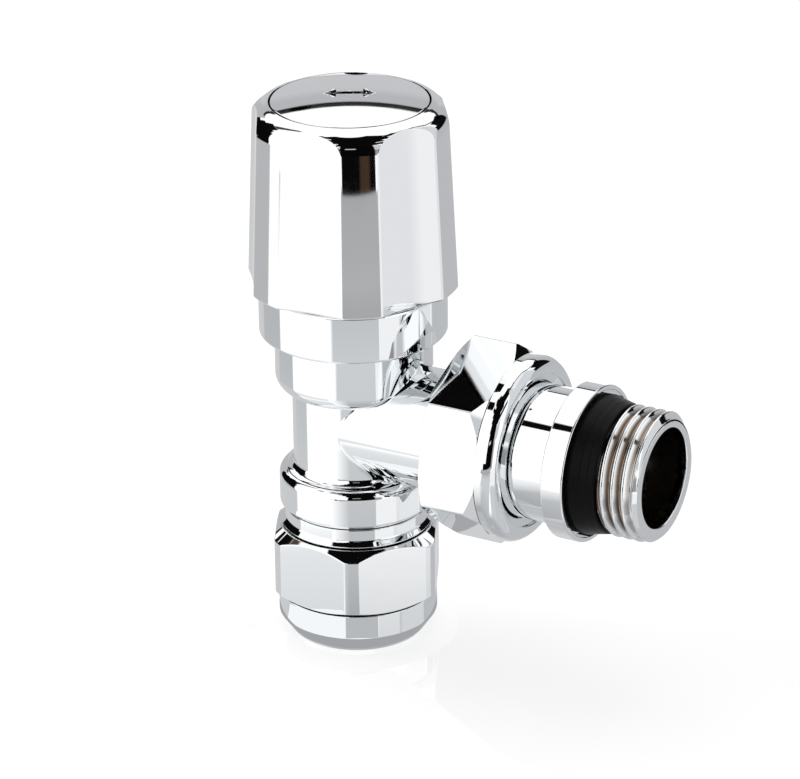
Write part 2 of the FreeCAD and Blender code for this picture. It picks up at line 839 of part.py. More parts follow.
def make_tailpiece():
    spigot_end_x = spigot_x + tail_shoulder_gap
    outside = turned([
        (0, spigot_end_x),
        (spigot_r, spigot_end_x, 0, edge_chamfer),
        (spigot_r, tail_shoulder_x),
        (tail_pipe_r, tail_shoulder_x),
        (tail_pipe_r, tail_flange_x),
        (tail_flange_r, tail_flange_x, tail_flange_round),
        (tail_flange_r, tail_face_x, tail_flange_round),
        (tail_flange_r - tail_flange_rim, tail_face_x),
        (tail_flange_r - tail_flange_rim, tail_recess_x),
        (tail_neck_r, tail_recess_x),
        (tail_neck_r, tail_thread_x),
        (tail_thread_r, tail_thread_x),
        (tail_thread_r, tail_end_x - tail_thread_chamfer),
        (tail_thread_r - tail_thread_chamfer, tail_end_x),
        (0, tail_end_x),
    ])
    ring_half = tail_ring_wire_r + slide_clearance
    ring_groove = turned([
        (tail_ring_r - ring_half, tail_ring_x - ring_half),
        (tail_flange_r, tail_ring_x - ring_half),
        (tail_flange_r, tail_ring_x + ring_half),
        (tail_ring_r - ring_half, tail_ring_x + ring_half),
    ])
    seal_r = union_seal_centre_r()
    seal_half = union_ring_wire_r + seal_clearance
    seal_x = (spigot_end_x + tail_shoulder_x) / 2
    seal_groove = turned([
        (seal_r - seal_half, seal_x - seal_half),
        (spigot_r + slide_clearance, seal_x - seal_half),
        (spigot_r + slide_clearance, seal_x + seal_half),
        (seal_r - seal_half, seal_x + seal_half),
    ])
    waterway_r = spigot_r - tail_spigot_wall
    waterway = bar(waterway_r, spigot_end_x, tail_flange_x)
    socket_hole = hexagon(tail_socket_flats, tail_shoulder_x, tail_end_x, 0.0)
    mouth = bar(tail_bore_r, tail_end_x - tail_bore_length, tail_end_x)
    return on_branch(outside.cut([ring_groove, seal_groove, waterway, socket_hole, mouth]))


def union_seal_centre_r():
    """Radius of the union's sealing ring, which touches the wall of its bore."""
    return spigot_r + slide_clearance - union_ring_wire_r - seal_clearance


def make_union_o_ring():
    middle_x = (spigot_x + tail_shoulder_gap + tail_shoulder_x) / 2
    return on_branch(ring(union_seal_centre_r(), union_ring_wire_r, middle_x))


def make_tail_clip():
    wire = Part.makeTorus(
        tail_ring_r,
        tail_ring_wire_r,
        Vector(0, 0, tail_ring_x),
        Vector(0, 0, 1),
        -180,
        180,
        360 - tail_ring_opening_angle,
    )
    return on_branch(wire)


def make_radiator_seal():
    low_x = tail_recess_x + face_clearance
    tip_x = tail_thread_x - face_clearance
    inner_r = tail_neck_r + seal_clearance
    return along_branch([
        (inner_r, low_x),
        (seal_base_r, low_x),
        (seal_base_r, low_x + seal_base_length, seal_round),
        (seal_tip_r, tip_x, seal_round),
        (inner_r, tip_x),
    ])


pieces = {
    "valve_body": make_valve_body,
    "bonnet": make_bonnet,
    "bonnet_o_ring": make_bonnet_o_ring,
    "gland_washer": make_gland_washer,
    "spindle_o_ring": make_spindle_o_ring,
    "gland_packing": make_gland_packing,
    "gland_nut": make_gland_nut,
    "head_shroud": make_head_shroud,
    "disc_holder": make_disc_holder,
    "disc_washer": make_disc_washer,
    "disc_screw": make_disc_screw,
    "spindle": make_spindle,
    "wheelhead": make_wheelhead,
    "wheelhead_cap": make_wheelhead_cap,
    "head_screw": make_head_screw,
    "head_screw_washer": make_head_screw_washer,
    "union_nut": make_union_nut,
    "tailpiece": make_tailpiece,
    "tail_clip": make_tail_clip,
    "union_o_ring": make_union_o_ring,
    "radiator_seal": make_radiator_seal,
    "olive": make_olive,
    "compression_nut": make_compression_nut,
}

os.makedirs("parts", exist_ok=True)
for name, make in pieces.items():
    make().exportStep("parts/" + name + ".step")
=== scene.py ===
import math

import bpy
import numpy as np
from mathutils import Matrix, Vector


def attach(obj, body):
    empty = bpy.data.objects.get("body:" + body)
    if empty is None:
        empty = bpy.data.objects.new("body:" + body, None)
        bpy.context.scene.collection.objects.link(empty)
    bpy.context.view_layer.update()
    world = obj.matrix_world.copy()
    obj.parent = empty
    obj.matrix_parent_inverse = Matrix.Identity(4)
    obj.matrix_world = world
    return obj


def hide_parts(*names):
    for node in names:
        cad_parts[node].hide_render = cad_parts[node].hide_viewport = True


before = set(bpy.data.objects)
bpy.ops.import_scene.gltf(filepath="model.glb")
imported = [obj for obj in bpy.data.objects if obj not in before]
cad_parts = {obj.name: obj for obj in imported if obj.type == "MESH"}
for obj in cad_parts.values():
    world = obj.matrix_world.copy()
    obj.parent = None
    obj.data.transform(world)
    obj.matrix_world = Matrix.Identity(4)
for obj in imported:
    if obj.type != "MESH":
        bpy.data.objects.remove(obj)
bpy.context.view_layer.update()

# Angled radiator valve with a manual wheelhead. Lengths here are millimetres unless a name says metres.
# Z is the axis of the copper pipe and the wheelhead, X is the axis of the branch to the radiator.
METRES = 0.001
NO_LENGTH = 1e-12
BRANCH_Z = 37.85
BRANCH_R = 9.8
TUBE_R = 10.05
BRANCH_FILLET = 2.2
PIPE_R = 7.6
PIPE_THREAD_PITCH = 1.814
UNION_THREAD_PITCH = 1.5
UNION_X = 20.6
CAP_TOP_Z = 92.2


def even(count):
    """Angles spread evenly round a turned piece."""
    return np.linspace(0, 360, count, endpoint=False)


DEGREES_A_STEP = 8


def outline(corners, closed=True):
    """Section of a piece from corners (r, z), (r, z, rounding) or (r, z, rounding, steps).
    Gives its points, and the direction at the start and at the end of each run between two points."""
    spots = np.array([corner[:2] for corner in corners], float)
    count = len(corners)
    points = []
    starts = []
    ends = []
    for i, corner in enumerate(corners):
        here = spots[i]
        ahead = spots[(i + 1) % count] - here
        behind = here - spots[i - 1]
        if not closed and i == 0:
            behind = ahead
        if not closed and i == count - 1:
            ahead = behind
        ahead = ahead / max(np.hypot(*ahead), NO_LENGTH)
        behind = behind / max(np.hypot(*behind), NO_LENGTH)
        if len(corner) < 3:
            points.append(here)
            starts.append(ahead)
            ends.append(ahead)
            continue
        radius = corner[2]
        turn = math.atan2(behind[0] * ahead[1] - behind[1] * ahead[0], behind @ ahead)
        steps = corner[3] if len(corner) > 3 else max(3, math.ceil(abs(math.degrees(turn)) / DEGREES_A_STEP))
        side = 1 if turn > 0 else -1
        begin = here - behind * radius * math.tan(abs(turn) / 2)
        centre = begin + side * radius * np.array([-behind[1], behind[0]])
        directions = []
        for k in range(steps + 1):
            c, s = math.cos(turn * k / steps), math.sin(turn * k / steps)
            directions.append(np.array([behind[0] * c - behind[1] * s, behind[0] * s + behind[1] * c]))
        for k, along in enumerate(directions):
            points.append(centre - side * radius * np.array([-along[1], along[0]]))
            starts.append(along if k < steps else ahead)
            ends.append(directions[k + 1] if k < steps else ahead)
    return np.array(points), np.array(starts), np.array(ends)


def skin(turns, section, closed=True, on_branch=False):
    """Surface through the sections at those angles, with the exact direction that every corner of it faces.
    A small turn to each side shows how the section changes there."""
    nudge = 1e-5
    angles = np.radians(np.asarray(turns, float))
    here = [section(a) for a in angles]
    points = np.array([h[0] for h in here])
    starts = np.array([h[1] for h in here])
    ends = np.array([h[2] for h in here])
    rate_after = (np.array([section(a + nudge)[0] for a in angles]) - points) / nudge
    rate_before = (points - np.array([section(a - nudge)[0] for a in angles])) / nudge
    out = np.stack([np.cos(angles), np.sin(angles), np.zeros_like(angles)], 1)[:, None, :]
    round_ = np.stack([-np.sin(angles), np.cos(angles), np.zeros_like(angles)], 1)[:, None, :]
    up = np.array([0.0, 0.0, 1.0])
    nearly_axis = 1e-6

    def in_space(pair):
        return pair[..., :1] * out + pair[..., 1:] * up

    def way_round(rate):
        return in_space(rate) + np.maximum(points[..., :1], nearly_axis) * round_

    place = in_space(points)
    after, before = way_round(rate_after), way_round(rate_before)
    start3, end3 = in_space(starts), in_space(ends)
    rows = points.shape[1]
    last = rows if closed else rows - 1
    j = np.arange(len(angles))
    i = np.arange(last)
    jj, ii = np.meshgrid(j, i, indexing="ij")
    j2, i2 = (jj + 1) % len(angles), (ii + 1) % rows
    corners = np.stack([jj * rows + ii, j2 * rows + ii, j2 * rows + i2, jj * rows + i2], -1)
    facing = np.stack([
        np.cross(after[jj, ii], start3[jj, ii]),
        np.cross(before[j2, ii], start3[j2, ii]),
        np.cross(before[j2, i2], end3[j2, ii]),
        np.cross(after[jj, i2], end3[jj, ii]),
    ], -2)
    made = (place.reshape(-1, 3), corners.reshape(-1, 4), facing.reshape(-1, 4, 3))
    return laid_on_branch(made) if on_branch else made


def laid_on_branch(made):
    """A surface made on the Z axis, turned so that it lies on the branch."""
    place, corners, facing = made
    turned = np.stack([place[:, 2], place[:, 1], BRANCH_Z - place[:, 0]], 1)
    return turned, corners, np.stack([facing[..., 2], facing[..., 1], -facing[..., 0]], -1)


def lathe(corners, count=256, closed=True, on_branch=False):
    """Turned piece from an outline of corners, running up its outside."""
    section = outline(corners, closed)
    return skin(even(count), lambda angle: section, closed, on_branch)


def flat_sided(polygons):
    """Surface of plain flat faces, from lists of their corner points."""
    place = np.array([p for polygon in polygons for p in polygon], float)
    corners = []
    facing = []
    first = 0
    for polygon in polygons:
        p = np.array(polygon, float)
        normal = np.cross(p[1] - p[0], p[2] - p[0])
        corners.append(list(range(first, first + len(p))))
        facing.append([normal] * len(p))
        first += len(p)
    return place, corners, facing


def bar_box(low, high):
    """Faces of a straight bar from its lowest to its highest corner."""
    (x0, y0, z0), (x1, y1, z1) = low, high
    return flat_sided([
        [(x0, y0, z0), (x0, y1, z0), (x1, y1, z0), (x1, y0, z0)],
        [(x0, y0, z1), (x1, y0, z1), (x1, y1, z1), (x0, y1, z1)],
        [(x0, y0, z0), (x1, y0, z0), (x1, y0, z1), (x0, y0, z1)],
        [(x1, y0, z0), (x1, y1, z0), (x1, y1, z1), (x1, y0, z1)],
        [(x1, y1, z0), (x0, y1, z0), (x0, y1, z1), (x1, y1, z1)],
        [(x0, y1, z0), (x0, y0, z0), (x0, y0, z1), (x0, y1, z1)],
    ])


def moved(made, matrix):
    """The same surface after a turn or a move."""
    place, corners, facing = made
    turn = np.array(matrix.to_3x3())
    shift = np.array(matrix.translation)
    return place @ turn.T + shift, corners, [np.asarray(f) @ turn.T for f in facing]


SAME_POINT_DIGITS = 5


def mesh_of(name, skins):
    """One mesh of closed surfaces in metres. Points that fall together become one, and faces that shrink to a
    line are left out. Each corner of a face keeps the direction it faces."""
    vertices = []
    faces = []
    facing = []
    for place, corners, normals in skins:
        tidy, same = np.unique(np.round(place, SAME_POINT_DIGITS), axis=0, return_inverse=True)
        first = len(vertices)
        vertices.extend((tidy * METRES).tolist())
        same = same.ravel()
        for loop, directions in zip(corners, normals):
            kept = []
            for corner, direction in zip(same[np.asarray(loop)].tolist(), directions):
                if corner not in [k[0] for k in kept]:
                    kept.append((corner, direction))
            if len(kept) > 2:
                faces.append([first + k[0] for k in kept])
                facing.extend(k[1] for k in kept)
    mesh = bpy.data.meshes.new(name)
    mesh.from_pydata(vertices, [], faces, shade_flat=False)
    facing = np.array(facing, float)
    facing /= np.maximum(np.linalg.norm(facing, axis=1, keepdims=True), NO_LENGTH)
    layer = mesh.attributes.new("facing", "FLOAT_VECTOR", "CORNER")
    layer.data.foreach_set("vector", facing.astype(np.float32).ravel())
    return mesh


def object_of(mesh):
    made = bpy.data.objects.new(mesh.name, mesh)
    bpy.context.scene.collection.objects.link(made)
    return made


def joined_and_cut(name, base, added, taken):
    """Solid that is the base with others added to it and others taken away, edges left sharp. What is taken
    away faces the other way, so that the cut's walls do too."""
    solid = object_of(mesh_of(name + "_base", base))
    helpers = []
    for operation, surfaces in [("UNION", added), ("DIFFERENCE", taken)]:
        for surface in surfaces:
            tool = object_of(mesh_of(name + "_tool", [surface]))
            if operation == "DIFFERENCE":
                layer = tool.data.attributes["facing"]
                turned = np.zeros(len(layer.data) * 3, np.float32)
                layer.data.foreach_get("vector", turned)
                layer.data.foreach_set("vector", -turned)
            step = solid.modifiers.new("step", "BOOLEAN")
            step.operation = operation
            step.solver = "EXACT"
            step.object = tool
            helpers.append(tool)
    seen = solid.evaluated_get(bpy.context.evaluated_depsgraph_get())
    mesh = bpy.data.meshes.new_from_object(seen)
    mesh.name = name
    for thing in [solid] + helpers:
        old = thing.data
        bpy.data.objects.remove(thing)
        bpy.data.meshes.remove(old)
    return mesh


def finished(mesh, material, body, slot, *nodes):
    """The finished piece: its faces' exact directions, its material and its body, with the parts that it stands for
    hidden.
    """
    layer = mesh.attributes["facing"]
    facing = np.zeros(len(layer.data) * 3, np.float32)
    layer.data.foreach_get("vector", facing)
    mesh.attributes.remove(layer)
    facing = facing.reshape(-1, 3)
    facing /= np.maximum(np.linalg.norm(facing, axis=1, keepdims=True), NO_LENGTH)
    mesh.normals_split_custom_set(facing.tolist())
    mesh.materials.clear()
    mesh.materials.append(material)
    made = object_of(mesh)
    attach(made, body)
    if nodes:
        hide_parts(*nodes)


# Colours and materials

def tone(code):
    """An sRGB hex colour as the linear values that a shader takes."""
    parts = [int(code[k:k + 2], 16) / 255 for k in (1, 3, 5)]
    return tuple(c / 12.92 if c <= 0.04045 else ((c + 0.055) / 1.055) ** 2.4 for c in parts) + (1.0,)


def add(tree, kind, settings, links):
    """Adds a node with its settings, and links its inputs to other nodes' outputs."""
    made = tree.nodes.new(kind)
    for name, value in settings.items():
        if isinstance(name, int) or name in made.inputs:
            made.inputs[name].default_value = value
        else:
            setattr(made, name, value)
    for name, output in links.items():
        tree.links.new(output, made.inputs[name])
    return made


def per_mm(size):
    """Scale of a pattern whose features are that many millimetres apart."""
    return 1 / (size * METRES)


def surface(name, colour, metallic, **settings):
    """A material with one shader, and the object's own coordinates for its patterns."""
    material = bpy.data.materials.new(name)
    material.use_nodes = True
    tree = material.node_tree
    shader = tree.nodes["Principled BSDF"]
    shader.inputs["Base Color"].default_value = tone(colour)
    shader.inputs["Metallic"].default_value = metallic
    for key, value in settings.items():
        shader.inputs[key.replace("_", " ")].default_value = value
    place = add(tree, "ShaderNodeTexCoord", {}, {}).outputs["Object"]
    return material, tree, shader, place


def polished_chrome_on_brass():
    """Nickel and chrome plate on buffed brass: a bright cool mirror, with the faint waviness that a
    buffing wheel leaves and a haze of very fine lines that softens the reflections a little."""
    material, tree, shader, place = surface("polished_chrome_on_brass", "#F2F4F5", 1.0)
    haze = add(tree, "ShaderNodeTexNoise", {"Scale": per_mm(2.5), "Detail": 4.0}, {"Vector": place})
    rough = add(tree, "ShaderNodeMapRange", {"From Min": 0.3, "From Max": 0.7, "To Min": 0.015, "To Max": 0.04},
                {"Value": haze.outputs["Fac"]})
    tree.links.new(rough.outputs["Result"], shader.inputs["Roughness"])
    wave = add(tree, "ShaderNodeTexNoise", {"Scale": per_mm(6.0), "Detail": 1.0}, {"Vector": place})
    bump = add(tree, "ShaderNodeBump", {"Strength": 0.6, "Distance": 0.000008}, {"Height": wave.outputs["Fac"]})
    tree.links.new(bump.outputs["Normal"], shader.inputs["Normal"])
    return material


def chrome_painted_shade_in_thread():
    """The same plate on the threaded tail, duller in the thread roots, because neither the buffing wheel nor much of
    the plating reaches them, and with painted shade there: the roots' colour turns a darker, warm grey. Crests stay
    bright.
    The roots are found by their distance from the branch's axis, between the thread's first and last turn."""
    root_r, flank_r = 9.6, 10.2
    first_turn, last_turn = (48.0, 48.4), (53.5, 54.1)
    duller = 0.16
    material = polished_chrome_on_brass()
    material.name = "chrome_painted_shade_in_thread"
    tree = material.node_tree
    shader = tree.nodes["Principled BSDF"]
    place = add(tree, "ShaderNodeTexCoord", {}, {}).outputs["Object"]
    along = add(tree, "ShaderNodeSeparateXYZ", {}, {"Vector": place}).outputs["X"]
    centred = add(tree, "ShaderNodeVectorMath", {"operation": "SUBTRACT", 1: (0.0, 0.0, BRANCH_Z * METRES)},
                  {0: place})
    flat = add(tree, "ShaderNodeVectorMath", {"operation": "MULTIPLY", 1: (0.0, 1.0, 1.0)},
               {0: centred.outputs["Vector"]})
    radius = add(tree, "ShaderNodeVectorMath", {"operation": "LENGTH"}, {0: flat.outputs["Vector"]}).outputs["Value"]
    deep = add(tree, "ShaderNodeMapRange",
               {"From Min": root_r * METRES, "From Max": flank_r * METRES, "To Min": 1.0, "To Max": 0.0},
               {"Value": radius})
    beyond = add(tree, "ShaderNodeMapRange",
                 {"From Min": first_turn[0] * METRES, "From Max": first_turn[1] * METRES}, {"Value": along})
    before = add(tree, "ShaderNodeMapRange",
                 {"From Min": last_turn[0] * METRES, "From Max": last_turn[1] * METRES, "To Min": 1.0, "To Max": 0.0},
                 {"Value": along})
    cut = add(tree, "ShaderNodeMath", {"operation": "MULTIPLY"},
              {0: before.outputs["Result"], 1: beyond.outputs["Result"]}).outputs["Value"]
    root = add(tree, "ShaderNodeMath", {"operation": "MULTIPLY"}, {0: deep.outputs["Result"], 1: cut}).outputs["Value"]
    # Painted shade: the colour turns from the bright plate to a darker warm grey in the thread roots.
    ramp = add(tree, "ShaderNodeValToRGB", {}, {"Fac": root})
    ramp.color_ramp.elements[0].color = tone("#F2F4F5")
    ramp.color_ramp.elements[1].color = tone("#9C9086")
    tree.links.new(ramp.outputs["Color"], shader.inputs["Base Color"])
    dull = add(tree, "ShaderNodeMath", {"operation": "MULTIPLY_ADD", 1: duller},
               {0: root, 2: shader.inputs["Roughness"].links[0].from_socket})
    tree.links.new(dull.outputs["Value"], shader.inputs["Roughness"])
    return material


def plated_abs():
    """Chrome plate on moulded ABS: a smooth mirror that is a shade warmer and softer than plated brass,
    with the slow ripple that a moulded wall shows over its ribs."""
    material, tree, shader, place = surface("plated_abs", "#F1F2F3", 1.0)
    haze = add(tree, "ShaderNodeTexNoise", {"Scale": per_mm(4.0), "Detail": 2.0}, {"Vector": place})
    rough = add(tree, "ShaderNodeMapRange", {"From Min": 0.3, "From Max": 0.7, "To Min": 0.02, "To Max": 0.045},
                {"Value": haze.outputs["Fac"]})
    tree.links.new(rough.outputs["Result"], shader.inputs["Roughness"])
    ripple = add(tree, "ShaderNodeTexNoise", {"Scale": per_mm(14.0), "Detail": 0.0}, {"Vector": place})
    bump = add(tree, "ShaderNodeBump", {"Strength": 0.6, "Distance": 0.000006}, {"Height": ripple.outputs["Fac"]})
    tree.links.new(bump.outputs["Normal"], shader.inputs["Normal"])
    return material


def turned_brass():
    """Machined brass inside the valve: dull yellow, with the fine rings that a turning tool leaves."""
    material, tree, shader, place = surface("turned_brass", "#C8A465", 1.0)
    stain = add(tree, "ShaderNodeTexNoise", {"Scale": per_mm(3.0), "Detail": 3.0}, {"Vector": place})
    ramp = add(tree, "ShaderNodeValToRGB", {}, {"Fac": stain.outputs["Fac"]})
    ramp.color_ramp.elements[0].color = tone("#A98446")
    ramp.color_ramp.elements[1].color = tone("#D8B878")
    tree.links.new(ramp.outputs["Color"], shader.inputs["Base Color"])
    shader.inputs["Roughness"].default_value = 0.32
    rings = add(tree, "ShaderNodeTexWave", {"bands_direction": "Z", "Scale": per_mm(0.4) / 20, "Distortion": 1.5},
                {"Vector": place})
    bump = add(tree, "ShaderNodeBump", {"Strength": 0.4, "Distance": 0.00001}, {"Height": rings.outputs["Fac"]})
    tree.links.new(bump.outputs["Normal"], shader.inputs["Normal"])
    return material


def moulded_rubber():
    """Moulded EPDM rubber: near black and matt, with a fine dry grain and paler dust in it."""
    material, tree, shader, place = surface("moulded_rubber", "#0B0B0C", 0.0, Specular_IOR_Level=0.1)
    grain = add(tree, "ShaderNodeTexNoise", {"Scale": per_mm(0.5), "Detail": 5.0}, {"Vector": place})
    ramp = add(tree, "ShaderNodeValToRGB", {}, {"Fac": grain.outputs["Fac"]})
    ramp.color_ramp.elements[0].color = tone("#070708")
    ramp.color_ramp.elements[1].color = tone("#111112")
    tree.links.new(ramp.outputs["Color"], shader.inputs["Base Color"])
    rough = add(tree, "ShaderNodeMapRange", {"To Min": 0.3, "To Max": 0.45}, {"Value": grain.outputs["Fac"]})
    tree.links.new(rough.outputs["Result"], shader.inputs["Roughness"])
    bump = add(tree, "ShaderNodeBump", {"Strength": 0.35, "Distance": 0.00003}, {"Height": grain.outputs["Fac"]})
    tree.links.new(bump.outputs["Normal"], shader.inputs["Normal"])
    return material


def pressed_ptfe():
    """Pressed PTFE packing: milky white and waxy, with a faint clouding."""
    material, tree, shader, place = surface("pressed_ptfe", "#ECECE8", 0.0, Roughness=0.45)
    cloud = add(tree, "ShaderNodeTexNoise", {"Scale": per_mm(1.5), "Detail": 3.0}, {"Vector": place})
    ramp = add(tree, "ShaderNodeValToRGB", {}, {"Fac": cloud.outputs["Fac"]})
    ramp.color_ramp.elements[0].color = tone("#E2E2DD")
    ramp.color_ramp.elements[1].color = tone("#F4F4F1")
    tree.links.new(ramp.outputs["Color"], shader.inputs["Base Color"])
    return material


def drawn_stainless():
    """Drawn and pressed stainless steel: a grey satin with fine lines along the way it was worked."""
    material, tree, shader, place = surface("drawn_stainless", "#B9BBBD", 1.0)
    stretched = add(tree, "ShaderNodeMapping", {"Scale": (1.0, 1.0, 12.0)}, {"Vector": place})
    lines = add(tree, "ShaderNodeTexNoise", {"Scale": per_mm(0.8), "Detail": 3.0},
                {"Vector": stretched.outputs["Vector"]})
    rough = add(tree, "ShaderNodeMapRange", {"To Min": 0.2, "To Max": 0.36}, {"Value": lines.outputs["Fac"]})
    tree.links.new(rough.outputs["Result"], shader.inputs["Roughness"])
    bump = add(tree, "ShaderNodeBump", {"Strength": 0.3, "Distance": 0.00001}, {"Height": lines.outputs["Fac"]})
    tree.links.new(bump.outputs["Normal"], shader.inputs["Normal"])
    return material


chrome = polished_chrome_on_brass()
plated = plated_abs()
brass = turned_brass()
rubber = moulded_rubber()
ptfe = pressed_ptfe()
steel = drawn_stainless()


# Shapes that pieces share

def softer_min(a, b, width):
    """The smaller of two sizes, with the corner between them rounded over that width."""
    blend = np.maximum(width - np.abs(a - b), 0) / width
    return np.minimum(a, b) - blend * blend * width / 4


def hex_r(angle, flats, corner_angle, corner_r, rounding):
    """Radius of a hexagonal nut at an angle. A rounding over zero turns its corners down to corner_r with
    that much softening, and one of zero gives the corners the round edge that reaches out to corner_r."""
    off = (angle - math.radians(corner_angle) + math.pi / 6) % (math.pi / 3) - math.pi / 6
    across = flats / 2 / math.cos(math.pi / 6 - abs(off))
    if rounding > 0:
        return float(softer_min(across, corner_r, rounding))
    full = flats / 2 / math.cos(math.pi / 6)
    edge_round = (full - corner_r) / (1 / math.cos(math.pi / 6) - 1)
    centre = full - edge_round / math.cos(math.pi / 6)
    reach = math.pi / 6 - math.atan((flats / 2 - edge_round) * math.tan(math.pi / 6) / (flats / 2))
    if abs(off) > reach:
        return across
    return centre * math.cos(off) + math.sqrt(edge_round ** 2 - (centre * math.sin(off)) ** 2)


CLOSEST_TURNS = 0.12


def six_times(first_angle, parts):
    """The angles given for one sixth of a turn, put in order and thinned, then repeated six times round."""
    part = np.unique(np.round(np.concatenate(parts), 3))
    part = part[np.concatenate([[True], np.diff(part) > CLOSEST_TURNS])]
    return np.concatenate([first_angle + 60 * k + part for k in range(6)])


def hex_turns(corner_angle, fine_at, spread):
    """Angles round a hexagonal nut, closer together where a flat meets its turned or rounded corner."""
    near = np.linspace(-spread, spread, 9)
    return six_times(corner_angle, [np.arange(-30, 30, 1.5), fine_at + near, near - fine_at, [0.0]])


def thread_r(angle, z, crest, pitch):
    """Radius of a right-hand pipe thread: straight sides 55 degrees apart, crests and roots rounded alike.
    Its depth and its rounding are the standard shares of the pitch."""
    depth, bend = 0.6403 * pitch, 0.1373 * pitch
    lean = math.radians(90 - 55 / 2)
    off = np.abs((z / pitch - angle / (2 * math.pi)) % 1.0 - 0.5) * pitch
    rest = pitch / 2 - off
    reach = bend * math.sin(lean)
    on_crest = crest - bend + np.sqrt(np.maximum(bend ** 2 - off ** 2, 0))
    on_root = crest - depth + bend - np.sqrt(np.maximum(bend ** 2 - rest ** 2, 0))
    on_side = crest - bend * (1 - math.cos(lean)) - (off - reach) * math.tan(lean)
    return np.where(off < reach, on_crest, np.where(rest < reach, on_root, on_side))


def threaded_rows(angle, heights, limit, crest, pitch):
    """Points and directions of a thread along its height, held inside a limit given at each height."""
    step = 1e-4
    blend = 0.05

    def radius(z):
        return softer_min(thread_r(angle, z, crest, pitch), limit(z), blend)

    points = np.stack([radius(heights), heights], 1)
    slope = (radius(heights + step) - radius(heights - step)) / (2 * step)
    along = np.stack([slope, np.ones_like(slope)], 1)
    along /= np.linalg.norm(along, axis=1, keepdims=True)
    return points, along


def with_thread(angle, before, rows, after):
    """Closed section of corners, then the rows of a thread, then more corners."""
    points, along = rows
    first = outline(before + [tuple(points[0])], closed=False)
    second = outline([tuple(points[-1])] + after + [before[0][:2]], closed=False)
    joined_points = np.concatenate([first[0][:-1], points, second[0][1:-1]])
    starts = np.concatenate([first[1][:-1], along[:-1], second[1][:-1]])
    ends = np.concatenate([first[2][:-1], along[1:], second[2][:-1]])
    return joined_points, starts, ends


# Valve body

def branch_root():
    """The branch with its rolling fillet onto the tube, closed inside the tube's wall."""
    wall_r = 9.5
    dip = 0.01
    fillet_steps = 14
    turns = np.radians(even(192))
    reach = BRANCH_R + BRANCH_FILLET
    far = TUBE_R + BRANCH_FILLET
    centre = np.stack([
        np.sqrt(far ** 2 - (reach * np.sin(turns)) ** 2),
        reach * np.sin(turns),
        BRANCH_Z + reach * np.cos(turns),
    ], 1)
    to_tube = -centre / far
    to_tube[:, 2] = 0
    to_branch = np.stack([np.zeros_like(turns), -np.sin(turns), -np.cos(turns)], 1)
    spread = np.arccos(np.clip((to_tube * to_branch).sum(1), -1, 1))[:, None]
    rows = []
    facing = []
    contact = centre + BRANCH_FILLET * to_tube
    turn_at = np.arctan2(contact[:, 1], contact[:, 0])
    for share in (0.0, 0.3, 0.6, 0.85, 1.0):
        a = turn_at * share
        z = BRANCH_Z + (contact[:, 2] - BRANCH_Z) * share
        rows.append(np.stack([wall_r * np.cos(a), wall_r * np.sin(a), z], 1))
        inward = -np.stack([np.cos(a), np.sin(a), 0 * a], 1)
        facing.append((inward, inward))
    for k in range(fillet_steps + 1):
        share = k / fillet_steps
        u = (np.sin((1 - share) * spread) * to_tube + np.sin(share * spread) * to_branch) / np.sin(spread)
        row = centre + BRANCH_FILLET * u
        if k == 0:
            row[:, :2] *= (TUBE_R - dip) / TUBE_R
        rows.append(row)
        facing.append((-u, -u))
    end = np.stack([
        np.full_like(turns, UNION_X + 0.2),
        BRANCH_R * np.sin(turns),
        BRANCH_Z + BRANCH_R * np.cos(turns),
    ], 1)
    ahead = np.tile([1.0, 0.0, 0.0], (len(turns), 1))
    rows.append(end)
    facing.append((-to_branch, ahead))
    rows.append(np.stack([end[:, 0], 0 * turns, 0 * turns + BRANCH_Z], 1))
    facing.append((ahead, ahead))
    place = np.stack(rows, 1)
    count = len(rows)
    j, i = np.meshgrid(np.arange(len(turns)), np.arange(count - 1), indexing="ij")
    j2, i2 = (j + 1) % len(turns), i + 1
    corners = np.stack([j * count + i, j * count + i2, j2 * count + i2, j2 * count + i], -1)
    leaving = np.stack([f[1] for f in facing], 1)
    reaching = np.stack([f[0] for f in facing], 1)
    normals = np.stack([leaving[j, i], reaching[j, i2], reaching[j2, i2], leaving[j2, i]], -2)
    return place.reshape(-1, 3), corners.reshape(-1, 4), normals.reshape(-1, 4, 3)


def valve_body():
    """The turned body with its bores and seat, and the branch joined to it and bored through."""
    core = lathe([
        (PIPE_R, 19.0),
        (12.25, 19.0, 0.12),
        (12.25, 19.2, 0.08),
        (11.55, 19.9, 0.6),
        (11.55, 21.9, 0.2),
        (9.9, 22.0),
        (9.9, 22.12),
        (11.7, 22.2, 0.2),
        (12.4, 22.75, 0.6),
        (12.4, 28.9, 1.6),
        (TUBE_R, 28.9, 1.35),
        (TUBE_R, 42.65),
        (12.7, 42.65, 2.65, 14),
        (12.7, 52.35, 0.4),
        (9.05, 52.35),
        (9.05, 46.55),
        (8.45, 46.55),
        (8.45, 44.05),
        (7.8, 44.05),
        (7.8, 31.45),
        (6.6, 31.45),
        (6.6, 32.25),
        (5.5, 32.25),
        (5.5, 20.0),
        (PIPE_R, 20.0),
    ])
    bore = lathe([(0, 5.0), (6.0, 5.0), (6.0, UNION_X + 1.0), (0, UNION_X + 1.0)], 96, False, True)
    return joined_and_cut("valve_body_chromed", [core], [branch_root()], [bore])


def union_thread():
    """The branch's end with the thread that the union nut runs on."""
    heights = np.arange(21.0, 27.1, 0.08)

    def limit(x):
        return np.where(x < 24, 10.9 + (x - 20.6) * 3.0, 12.0)

    def section(angle):
        rows = threaded_rows(angle, heights, limit, 12.0, UNION_THREAD_PITCH)
        return with_thread(angle, [(6.0, UNION_X), (10.9, UNION_X)], rows,
                           [(11.5, 27.5), (8.55, 27.5), (8.55, 22.0), (6.0, 22.0)])
    return skin(even(160), section, True, True)


